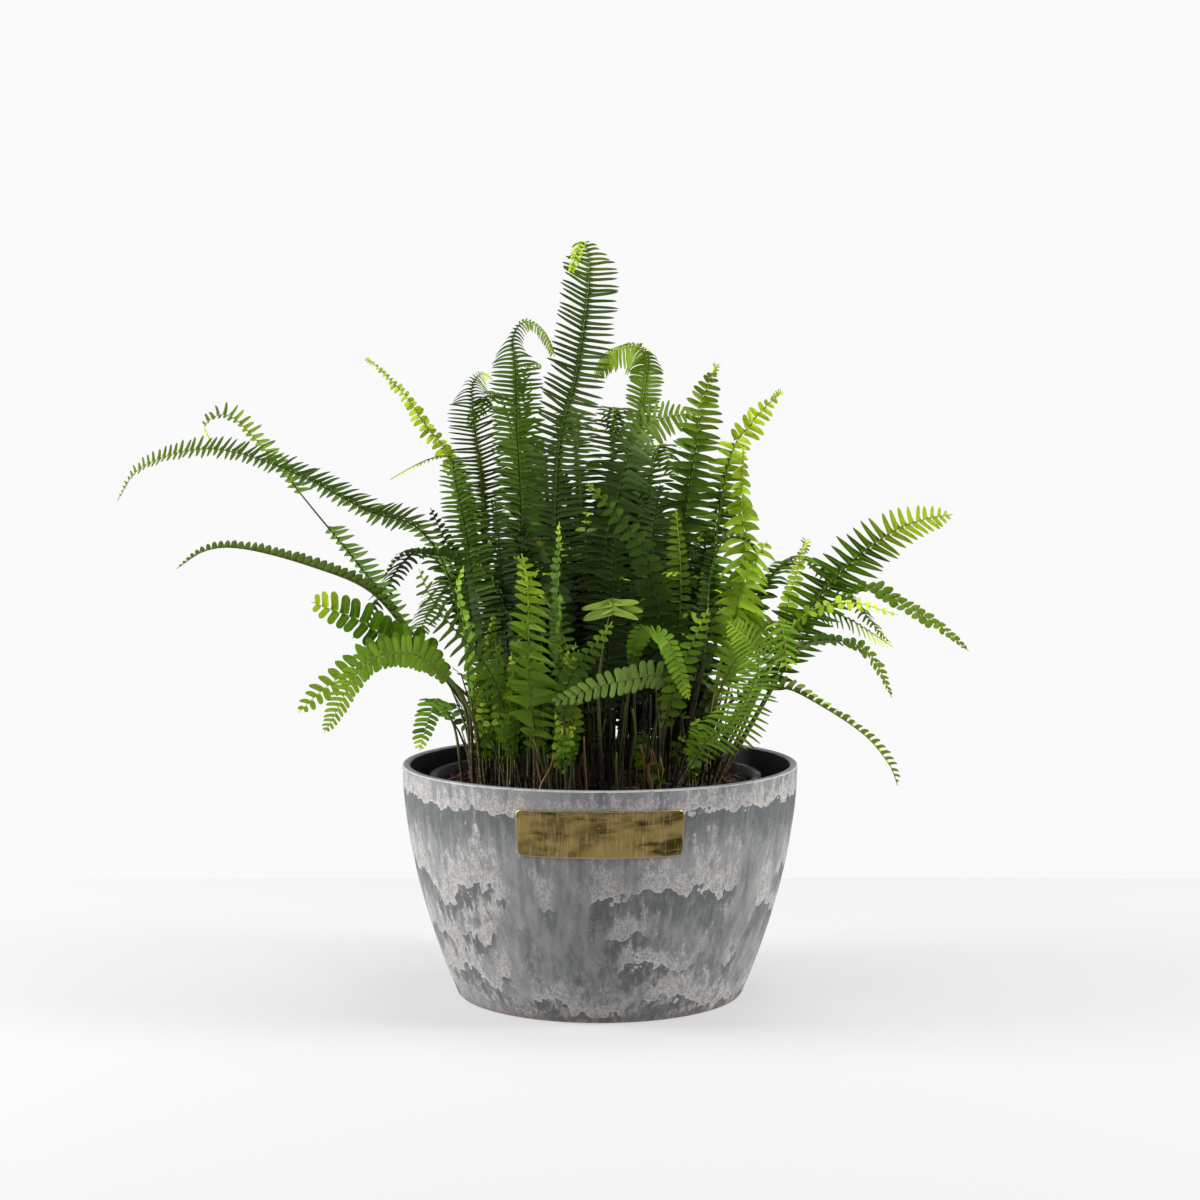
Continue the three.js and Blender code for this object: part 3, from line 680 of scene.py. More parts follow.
def hand_over(piece: bpy.types.Object, slot: str, *nodes: str) -> None:
    """Declares a finished piece to the frame.

    Args:
        piece: The piece.
        slot: The record's material slot. Not used.
        nodes: The CAD nodes that it stands for.
    """
    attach(piece, BODY)
    if nodes:
        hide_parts(*nodes)
    LOG.info("%s: %d faces", piece.name, len(piece.data.polygons))


def spun(profile: list[Pair], steps: int) -> BMesh:
    """Turns a profile of (radius, height) round the upright axis.

    Args:
        profile: From the axis round the section and back to the axis.
        steps: Faces round.

    Returns:
        The closed mesh.
    """
    bm = bmesh.new()
    corners = [bm.verts.new((radius, 0.0, height)) for radius, height in profile]
    lines = [bm.edges.new(pair) for pair in zip(corners, corners[1:])]
    bmesh.ops.spin(
        bm, geom=corners + lines, cent=(0, 0, 0), axis=(0, 0, 1), dvec=(0, 0, 0),
        angle=2.0 * math.pi, steps=steps, use_merge=True, use_duplicate=False,
    )
    bmesh.ops.remove_doubles(bm, verts=bm.verts, dist=1e-6)
    bmesh.ops.recalc_face_normals(bm, faces=bm.faces)
    return bm


@dataclass
class Planter:
    """The round planter: an open shell that swells from its foot and stands upright at the rim.

    skin is how far its outside stays within the plain model's, and slack how much thicker its wall is.
    """

    height: float = 179 * MM
    rim_radius: float = 152.5 * MM
    foot_radius: float = 110 * MM
    foot_edge: tuple[Pair, ...] = ((-2.5 * MM, 0.0), (-0.6 * MM, 0.7 * MM))
    swell: float = 1.8
    wall: float = 6 * MM
    floor: float = 6 * MM
    edge: float = 1.6 * MM
    skin: float = 0.05 * MM
    slack: float = 0.4 * MM
    rim_depth: float = 1.1 * MM
    steps: int = 144
    levels: int = 34
    inner_levels: int = 16

    def radius(self, height: float) -> float:
        """Returns the outside's radius at a height."""
        share = min(max(height / self.height, 0.0), 1.0)
        return self.foot_radius + (self.rim_radius - self.foot_radius) * (1.0 - (1.0 - share) ** self.swell)

    def _arc(self, radius: float, height: float, start: float, end: float) -> list[Pair]:
        """Returns a quarter round of the edge's size about (radius, height), from angle to angle."""
        steps = 5
        turns = [math.radians(mix(start, end, index / steps)) for index in range(steps + 1)]
        return [(radius + self.edge * math.cos(t), height + self.edge * math.sin(t)) for t in turns]

    def profile(self) -> list[Pair]:
        """Returns the section from the axis at the underside round to the axis at the floor."""
        low, top = self.edge * 1.5, self.height - self.edge
        outside = [mix(low, top, index / self.levels) for index in range(self.levels)]
        shares = [index / self.inner_levels for index in range(1, self.inner_levels + 1)]
        inside = [mix(top, self.floor, share) for share in shares]
        points = [(0.0, 0.0)]
        points += [(self.foot_radius + out, up) for out, up in self.foot_edge]
        points += [(self.radius(z) - self.skin, z) for z in outside]
        points += self._arc(self.rim_radius - self.edge - self.skin, top, 0, 90)
        points += self._arc(self.rim_radius - self.wall + self.edge, top, 90, 180)
        points += [(self.radius(z) - self.wall - self.slack, z) for z in inside]
        return points + [(0.0, self.floor)]

    def build(self, slot: str) -> None:
        """Builds and dresses the planter.

        Args:
            slot: The record's material slot.
        """
        bm = spun(self.profile(), self.steps)
        for face in bm.faces:
            middle = face.calc_center_median()
            radius = math.hypot(middle.x, middle.y)
            inner = radius < self.radius(middle.z) - 0.6 * self.wall and middle.z > 1 * MM
            on_rim = middle.z > self.height - self.rim_depth
            face.material_index = 2 if on_rim else 1 if inner else 0
        finishes = [StoneFinish().build(), InnerWallFinish().build(), RimFinish().build()]
        hand_over(new_piece("planter_shell", bm, finishes), slot, "planter")


@dataclass
class NamePlate:
    """The brass plate: a thin rounded rectangle with a raised edge, bowed round the planter, bare."""

    planter: Planter
    width: float = 123 * MM
    height: float = 34 * MM
    middle: float = 147 * MM
    thickness: float = 1.2 * MM
    corner: float = 4 * MM
    lip: float = 1.5 * MM
    rounding: float = 0.5 * MM
    dent: float = 0.12 * MM
    dents: float = 60
    gap: float = 0.3 * MM
    columns: int = 96
    rows: int = 30

    def _outline(self, across: float, upright: float) -> tuple[float, float, float]:
        """Maps a square's point to the rounded rectangle.

        Args:
            across: -1 to 1 along the plate.
            upright: -1 to 1 up the plate.

        Returns:
            The place along and up the plate, and how far in from its edge it is.
        """
        half_width, half_height = self.width / 2, self.height / 2
        x = across * half_width
        beyond = max(abs(x) - (half_width - self.corner), 0.0)
        cut = self.corner - math.sqrt(max(self.corner ** 2 - beyond ** 2, 0.0))
        z = upright * (half_height - cut)
        inset = min(half_width - abs(x), half_height - cut - abs(z))
        return x, z, inset

    def _wrap(self, x: float, z: float, lift: float) -> Vector:
        """Lays a flat point on the planter's wall at a lift above it."""
        height = self.middle + z
        radius = self.planter.radius(height) + self.gap + lift
        angle = x / self.planter.radius(self.middle) - math.pi / 2
        return Vector((radius * math.cos(angle), radius * math.sin(angle), height))

    def build(self, slot: str) -> None:
        """Builds and dresses the plate.

        Args:
            slot: The record's material slot.
        """
        bm = bmesh.new()
        plate_map = bm.loops.layers.uv.new("plate")
        grid = bmesh.ops.create_grid(bm, x_segments=self.columns, y_segments=self.rows, size=1.0)
        edging = {}
        for vert in grid["verts"]:
            x, z, inset = self._outline(vert.co.x, vert.co.y)
            raised = 1.0 - smooth(0.35 * self.lip, self.lip, inset)
            rounded = smooth(-0.2 * MM, self.rounding, inset)
            dent = self.dent * noise.noise(Vector((x * self.dents, z * self.dents, 0.0)))
            lift = self.thickness * (0.5 + 0.22 * raised + 0.18 * rounded) + dent * (1.0 - raised)
            edging[vert] = raised
            vert.co = self._wrap(x, z, min(lift, self.thickness))
        for face in bm.faces:
            for loop in face.loops:
                loop[plate_map].uv = (edging[loop.vert], 0.0)
        border = [edge for edge in bm.edges if edge.is_boundary]
        walls = bmesh.ops.extrude_edge_only(bm, edges=border)
        rim = [item for item in walls["geom"] if isinstance(item, bmesh.types.BMVert)]
        for vert in rim:
            radius = self.planter.radius(vert.co.z) + self.gap
            angle = math.atan2(vert.co.y, vert.co.x)
            vert.co = Vector((radius * math.cos(angle), radius * math.sin(angle), vert.co.z))
        back = [edge for edge in bm.edges if edge.is_boundary]
        bmesh.ops.holes_fill(bm, edges=back, sides=0)
        bmesh.ops.triangulate(bm, faces=[face for face in bm.faces if len(face.verts) > 4])
        bmesh.ops.recalc_face_normals(bm, faces=bm.faces)
        hand_over(new_piece("brass_plate", bm, [BrassFinish().build()]), slot, "name_plate")


@dataclass
class GrowPot:
    """The black nursery pot that holds the plant."""

    rim_radius: float = 128.5 * MM
    flange: float = 6.5 * MM
    flange_depth: float = 8 * MM
    bead: float = 0.7 * MM
    base_radius: float = 88 * MM
    stand: float = 6 * MM
    base: float = 6.3 * MM
    corner: float = 1 * MM
    wall: float = 1.8 * MM
    top: float = 170 * MM
    shift: float = -3.5 * MM
    steps: int = 128

    def radius(self, height: float) -> float:
        """Returns the outside's radius at a height, below the flange."""
        share = (height - self.stand) / (self.top - self.stand)
        return self.base_radius + (self.rim_radius - self.flange + self.wall - self.base_radius) * share

    def build(self, slot: str) -> None:
        """Builds and dresses the pot.

        Args:
            slot: The record's material slot.
        """
        low = self.top - self.flange_depth
        neck = low - self.corner
        bend = self.base + self.corner
        inside = self.base + self.wall
        bead = self.bead
        profile = [
            (0.0, self.base), (self.radius(self.base) - self.corner, self.base), (self.radius(bend), bend),
            (self.radius(neck), neck), (self.rim_radius - self.wall, low), (self.rim_radius - 0.4 * MM, low),
            (self.rim_radius, low + bead), (self.rim_radius - 0.2 * MM, self.top - 2 * bead),
            (self.rim_radius - bead, self.top - 0.3 * MM), (self.rim_radius - 2 * bead, self.top),
            (self.rim_radius - 3 * MM, self.top - 0.25 * MM),
            (self.radius(self.top) - self.wall + bead, self.top - 0.1 * MM),
            (self.radius(self.top) - self.wall, self.top - bead), (self.radius(neck) - self.wall, neck),
            (self.radius(self.base) - self.wall, inside), (0.0, inside),
        ]
        bm = spun(profile, self.steps)
        bmesh.ops.translate(bm, verts=bm.verts, vec=(self.shift, 0, 0))
        hand_over(new_piece("nursery_pot", bm, [PotFinish().build()]), slot, "grow_pot")


@dataclass(frozen=True)
class Litter:
    """One sort of loose bits on the soil.

    size is their shortest and longest length in millimetres, thick their thickness as a share of
    it, and red the share of them that is reddish.
    """

    count: int
    size: Pair
    thick: float
    red: float


@dataclass
class SoilBed:
    """The bark and peat mix, with loose chips and crumbs of bark on it.

    swells are the widths of its long waves across and back. lumps are the fine ones: how many go
    to a metre, and their height in millimetres.
    """

    pot: GrowPot
    edge_height: float = 163 * MM
    mound: float = 5 * MM
    relief: float = 1.2 * MM
    swells: Pair = (11 * MM, 13 * MM)
    lumps: tuple[Pair, ...] = ((170, 1.6), (420, 0.8))
    gap: float = 0.3 * MM
    even_edge: float = 4 * MM
    sunk: float = 0.5 * MM
    rings: int = 44
    steps: int = 120
    litter: tuple[Litter, ...] = (Litter(950, (2.5, 8.0), 0.22, 0.42), Litter(900, (1.0, 2.2), 0.6, 0.2))
    clear_edge: float = 5 * MM
    seed: int = 41

    def height(self, x: float, y: float) -> float:
        """Returns the surface's height at a place."""
        reach = self.pot.radius(self.edge_height)
        radius = math.hypot(x - self.pot.shift, y) / reach
        swell = self.mound * max(1.0 - radius ** 2, 0.0)
        across, back = self.swells
        return self.edge_height + swell + self.relief * math.sin(x / across) * math.cos(y / back)

    def build(self, slot: str) -> None:
        """Builds and dresses the bed and the bits on it.

        Args:
            slot: The record's material slot.
        """
        reach = self.pot.radius(self.edge_height) - self.pot.wall - self.gap
        base = self.pot.base + self.pot.wall + self.gap
        foot = self.pot.radius(base) - self.pot.wall - self.gap
        rings = [(reach * (1.0 - index / self.rings), self.edge_height) for index in range(self.rings + 1)]
        bm = spun([(0.0, base), (foot, base)] + rings, self.steps)
        bmesh.ops.translate(bm, verts=bm.verts, vec=(self.pot.shift, 0, 0))
        for vert in bm.verts:
            if vert.co.z > self.edge_height - 1 * MM:
                rough = sum(noise.noise(vert.co * number) * rise for number, rise in self.lumps)
                radius = math.hypot(vert.co.x - self.pot.shift, vert.co.y)
                inward = smooth(reach, reach - self.even_edge, radius)
                vert.co.z = self.height(vert.co.x, vert.co.y) + rough * MM * inward - self.sunk
        finish = SoilFinish("soil_mix", (0.008, 0.005, 0.004), (0.045, 0.02, 0.011))
        hand_over(new_piece("soil_bed", bm, [finish.build()]), slot, "soil")
        self._scatter(slot, reach - self.clear_edge)

    def _scatter(self, slot: str, reach: float) -> None:
        """Strews the loose bits over the bed.

        Args:
            slot: The record's material slot.
            reach: How far out they may lie.
        """
        draw = random.Random(self.seed)
        bm = bmesh.new()
        for litter in self.litter:
            for _ in range(litter.count):
                self._drop(bm, litter, reach, draw)
        dark = SoilFinish("bark_dark", (0.012, 0.006, 0.004), (0.055, 0.024, 0.012))
        red = SoilFinish("bark_red", (0.05, 0.018, 0.009), (0.16, 0.058, 0.026))
        hand_over(new_piece("bark_chips", bm, [dark.build(), red.build()]), slot)

    def _drop(self, bm: BMesh, litter: Litter, reach: float, draw: random.Random) -> None:
        """Adds one loose bit: an uneven block, turned and tilted.

        Args:
            bm: The mesh.
            litter: Its sort.
            reach: How far out it may lie.
            draw: The source of chance.
        """
        radius = reach * math.sqrt(draw.random())
        angle = draw.uniform(0, 2 * math.pi)
        x, y = self.pot.shift + radius * math.cos(angle), radius * math.sin(angle)
        size = draw.uniform(*litter.size) * MM
        made = bmesh.ops.create_cube(bm, size=1.0)["verts"]
        for vert in made:
            vert.co.x *= size * (1.0 - 0.35 * (vert.co.y + 0.5) * draw.random())
            vert.co.y *= size * draw.uniform(0.35, 0.6)
            vert.co.z *= size * litter.thick
        turn = draw.uniform(0, 2 * math.pi)
        tilt = draw.uniform(-0.5, 0.5)
        for vert in made:
            px, py, pz = vert.co
            px, pz = px * math.cos(tilt) - pz * math.sin(tilt), px * math.sin(tilt) + pz * math.cos(tilt)
            px, py = px * math.cos(turn) - py * math.sin(turn), px * math.sin(turn) + py * math.cos(turn)
            vert.co = Vector((x + px, y + py, self.height(x, y) + 0.7 * MM + pz))
        tone = 1 if draw.random() < litter.red else 0
        for face in {face for vert in made for face in vert.link_faces}:
            face.material_index = tone


class Look(Enum):
    """How old a frond is and which of its sides shows. The dark look is also painted shade for the growth
    deep in the crown.
    """

    DARK = "dark"
    GREEN = "green"
    LIGHT = "light"
    LIME = "lime"
    PALE = "pale"
    FRECKLED = "freckled"


LEAF_FINISHES = {
    Look.DARK: LeafFinish("leaf_dark", (0.03, 0.08, 0.003), (0.004, 0.013, 0.001), (0.42, 0.62, 0.012),
                          (0.045, 0.09, 0.01)),
    Look.GREEN: LeafFinish("leaf_green", (0.075, 0.185, 0.005), (0.009, 0.03, 0.001), (0.5, 0.7, 0.015),
                           (0.09, 0.175, 0.014)),
    Look.LIGHT: LeafFinish("leaf_light", (0.105, 0.245, 0.004), (0.02, 0.075, 0.002), (0.5, 0.7, 0.02),
                           (0.18, 0.33, 0.02)),
    Look.LIME: LeafFinish("leaf_lime", (0.21, 0.38, 0.004), (0.055, 0.15, 0.002), (0.6, 0.76, 0.03),
                          (0.32, 0.5, 0.025)),
    Look.PALE: LeafFinish("leaf_pale", (0.1, 0.185, 0.025), (0.03, 0.075, 0.008), (0.36, 0.52, 0.03),
                          (0.18, 0.28, 0.045), gloss=0.5),
    Look.FRECKLED: LeafFinish("leaf_freckled", (0.2, 0.37, 0.016), (0.08, 0.19, 0.008), (0.42, 0.58, 0.03),
                              (0.25, 0.4, 0.035), freckles=0.8),
}

STEM_FINISHES = {
    Look.DARK: StemFinish("stem_dark", (0.03, 0.018, 0.01), (0.018, 0.035, 0.006), (0.2, 0.3, 0.03)),
    Look.GREEN: StemFinish("stem_green", (0.045, 0.028, 0.014), (0.035, 0.075, 0.01), (0.3, 0.42, 0.04)),
    Look.LIGHT: StemFinish("stem_light", (0.07, 0.045, 0.02), (0.12, 0.2, 0.025), (0.36, 0.5, 0.05)),
    Look.LIME: StemFinish("stem_lime", (0.1, 0.075, 0.03), (0.26, 0.38, 0.04), (0.5, 0.64, 0.08)),
    Look.PALE: StemFinish("stem_pale", (0.06, 0.035, 0.018), (0.12, 0.13, 0.045), (0.26, 0.36, 0.07)),
    Look.FRECKLED: StemFinish("stem_freckled", (0.07, 0.04, 0.018), (0.16, 0.17, 0.04), (0.34, 0.4, 0.06)),
}


class Form(Enum):
    """The outline of a frond's leaflets."""

    SLENDER = "slender"
    LANCE = "lance"
    OBLONG = "oblong"
    OVATE = "ovate"

    def half_width(self, along: float) -> float:
        """Returns the half width at a share of the length, as a share of the widest."""
        rest = max(1.0 - along, 0.0)
        if self is Form.SLENDER:
            return max(1.0 - along ** 3.5, 0.0) ** 0.6 * (0.6 + 0.4 * math.exp(-along / 0.08))
        if self is Form.LANCE:
            return max(1.0 - along ** 1.9, 0.0) ** 0.75 * (0.82 + 0.18 * math.exp(-along / 0.1))
        if self is Form.OBLONG:
            ending = max((along - 0.68) / 0.32, 0.0)
            return math.sqrt(max(1.0 - ending ** 2, 0.0)) * mix(0.86, 1.0, smooth(0.0, 0.2, along))
        return min(rest ** 0.8 * (0.55 + 1.6 * along) / 0.8, 1.0)


@dataclass(frozen=True)
class FrondPlan:
    """Where one frond grows, in millimetres, and how it looks.

    The rib leaves the soil at foot and passes through the points of through to its tip. side is
    the way its right-hand leaflets point, and side_tip the same at the tip of a frond that twists.
    The twist starts at the share of the rib called turn, and from there on its leaflets also hang
    by limp more. reach is its leaflets' greatest length, pitch their spacing, width their width
    and form their outline, and bare is the share of the rib with no leaflets. sides are the left
    and right leaflets' lengths as shares of reach. In radians, sweep leans both rows to the tip,
    skew leans the right row more than the left, cup folds both rows up, and twist turns each
    leaflet's face to the tip. hang lets a leaflet's end sink by a share of its length. opening is
    the first leaflets' length as a share of the longest, closing how late the blade narrows, tail
    the share of it that ends in small leaflets, young the share that is lime, broken the stretch
    that has lost its leaflets, and curl the radius of a rolled tip. unruly is how much the
    leaflets' lengths and ways vary.
    """

    name: str
    foot: Pair
    through: tuple[Triple, ...]
    side: Triple
    reach: float
    bare: float
    look: Look = Look.GREEN
    side_tip: Optional[Triple] = None
    pitch: float = 5.0
    width: float = 4.4
    form: Form = Form.SLENDER
    sides: Pair = (1.0, 1.0)
    sweep: float = 0.08
    skew: float = 0.0
    cup: float = 0.0
    twist: float = 0.05
    hang: float = 0.16
    opening: float = 0.45
    closing: float = 3.0
    tail: float = 0.0
    young: float = 0.12
    curl: float = 0.0
    broken: Pair = (2.0, 2.0)
    turn: float = 0.0
    limp: float = 0.0
    unruly: float = 0.08


# The fronds that spread to the left.
LEFT_FRONDS = (
    FrondPlan(
        "long_left", form=Form.LANCE, foot=(-88, 22), reach=23, bare=0.34, pitch=4.8, width=4.2,
        side=(0.5, -0.6, 0.7), side_tip=(0.2, -0.7, 0.65), sides=(0.75, 1.0), sweep=-0.2, skew=-0.55,
        cup=0.25, hang=0.08, closing=2.2, young=0.3, unruly=0.1,
        through=((-112, 12, 304), (-139, 15, 357), (-180, 20, 372), (-230, 26, 398), (-282, 30, 417),
                 (-320, 30, 419), (-358, 26, 405), (-375, 22, 380)),
    ),
    FrondPlan(
        "curl_left", form=Form.LANCE, foot=(-74, 48), reach=20, bare=0.32, pitch=5.4, width=4.6,
        side=(0.45, -0.6, 0.7), side_tip=(0.3, -0.7, 0.5), sides=(0.45, 1.0), sweep=-0.1, skew=-0.3, cup=0.2,
        hang=0.1, closing=6.0, young=0.3, broken=(0.42, 0.54), unruly=0.1,
        through=((-138, 34, 263), (-168, 40, 301), (-198, 48, 338), (-229, 54, 375), (-264, 58, 418),
                 (-293, 60, 446), (-312, 58, 439), (-306, 54, 424)),
    ),
    FrondPlan(
        "low_left", look=Look.PALE, form=Form.OVATE, foot=(-60, -32), reach=12, bare=0.42, width=6.4,
        side=(0.1, -1, 0.5), sides=(1.0, 0.9), sweep=-0.65, cup=0.8, hang=0.05, closing=2.2, young=0.05,
        through=((-85, -34, 217), (-115, -31, 247), (-142, -34, 277), (-174, -38, 314), (-218, -40, 333),
                 (-267, -42, 346), (-296, -42, 345), (-319, -40, 331)),
    ),
    FrondPlan(
        "pale_left_upper", look=Look.LIGHT, form=Form.OBLONG, foot=(-98, -22), reach=18, bare=0.44, pitch=8.2,
        width=8.0, side=(0.75, 0.3, 0.8), side_tip=(0.3, 0, 1), sides=(0.72, 1.0), sweep=0.1, twist=0.1,
        hang=0.18, closing=7.0, young=0.16,
        through=((-104, -34, 229), (-133, -46, 267), (-157, -54, 278), (-181, -60, 294), (-200, -64, 302),
                 (-215, -66, 308)),
    ),
    FrondPlan(
        "pale_left_middle", look=Look.LIGHT, form=Form.OVATE, foot=(-96, -42), reach=18, bare=0.42, pitch=7.4,
        width=7.2, side=(0.5, -0.5, 0.9), side_tip=(-0.5, -0.4, 0.9), sides=(0.85, 1.0), sweep=0.1, twist=0.1,
        closing=3.5, young=0.4,
        through=((-100, -54, 230), (-127, -70, 265), (-144, -80, 275), (-168, -90, 271), (-185, -96, 259),
                 (-204, -98, 245), (-221, -98, 229)),
    ),
    FrondPlan(
        "pale_left_lower", look=Look.LIGHT, form=Form.OBLONG, foot=(-88, -60), reach=15, bare=0.42, pitch=4.6,
        width=4.2, side=(0.5, -0.3, 0.9), side_tip=(-0.9, -0.3, 0.6), sides=(0.75, 1.0), sweep=0.12,
        twist=0.1, closing=4.0, young=0.35,
        through=((-96, -70, 225), (-126, -92, 266), (-146, -106, 274), (-167, -116, 269), (-181, -122, 252),
                 (-193, -126, 228), (-199, -128, 218)),
    ),
    FrondPlan(
        "pale_upper_left", look=Look.LIGHT, form=Form.OVATE, foot=(-62, 74), reach=11, bare=0.38, pitch=4.8,
        width=5.6, side=(0.8, 0.3, 0.5), side_tip=(0.3, 0.2, 1), cup=0.5, hang=0.35, young=0.6, curl=3.6,
        unruly=0.3,
        through=((-95, 78, 266), (-105, 82, 362), (-123, 86, 416), (-140, 88, 438), (-158, 90, 464),
                 (-184, 90, 490)),
    ),
    FrondPlan(
        "bowed_left", foot=(-80, 10), reach=25, bare=0.26, pitch=3.7, side=(1, -0.2, 0),
        side_tip=(0.35, -0.9, 0), turn=0.7, sides=(0.75, 1.0), sweep=0.16, hang=0.14, tail=0.24, young=0.1,
        through=((-93, 0, 273), (-102, -8, 351), (-110, -14, 394), (-112, -18, 411), (-118, -22, 416),
                 (-137, -28, 410), (-158, -34, 398)),
    ),
    FrondPlan(
        "hanging_left", look=Look.LIGHT, form=Form.OBLONG, foot=(-104, -34), reach=13, bare=0.42, pitch=4.8,
        side=(0.7, -0.6, 0.3), side_tip=(0.9, 0, -0.4), sides=(1.0, 0.65), sweep=0.1, closing=4.0,
        through=((-109, -46, 208), (-116, -60, 228), (-121, -74, 236), (-126, -90, 224), (-132, -104, 202)),
    ),
    FrondPlan(
        "dark_left", look=Look.DARK, form=Form.OVATE, foot=(-70, -24), reach=10, bare=0.4, pitch=4.4,
        width=5.0, side=(0.3, -1, 0.2), cup=0.8, hang=0.05, young=0.0,
        through=((-95, -26, 276), (-103, -34, 326), (-111, -40, 339), (-127, -46, 342), (-141, -52, 343),
                 (-152, -56, 338), (-161, -60, 326)),
    ),
    FrondPlan(
        "edge_left", look=Look.LIGHT, form=Form.OVATE, foot=(-86, -34), reach=12, bare=0.42, pitch=5.6,
        width=6.6, side=(0.5, -0.9, 0), cup=0.3, young=0.15, unruly=0.16,
        through=((-97, -52, 233), (-101, -62, 288), (-106, -66, 317), (-101, -68, 335)),
    ),
    FrondPlan(
        "slanting_left", foot=(-58, -62), reach=17, bare=0.3, pitch=7.0, width=5.4, side=(0.8, 0, 0.6),
        sides=(1.0, 0.9), sweep=0.05, skew=0.25,
        through=((-71, -72, 227), (-83, -84, 261), (-109, -96, 293), (-123, -100, 313), (-132, -102, 335)),
    ),
    FrondPlan(
        "thin_left", look=Look.DARK, form=Form.OVATE, foot=(-80, 68), reach=12, bare=0.45, pitch=5.4,
        width=5.0, side=(0.9, 0.2, 0.4), young=0.0,
        through=((-101, 72, 267), (-117, 80, 330), (-126, 82, 350), (-136, 84, 372)),
    ),
)

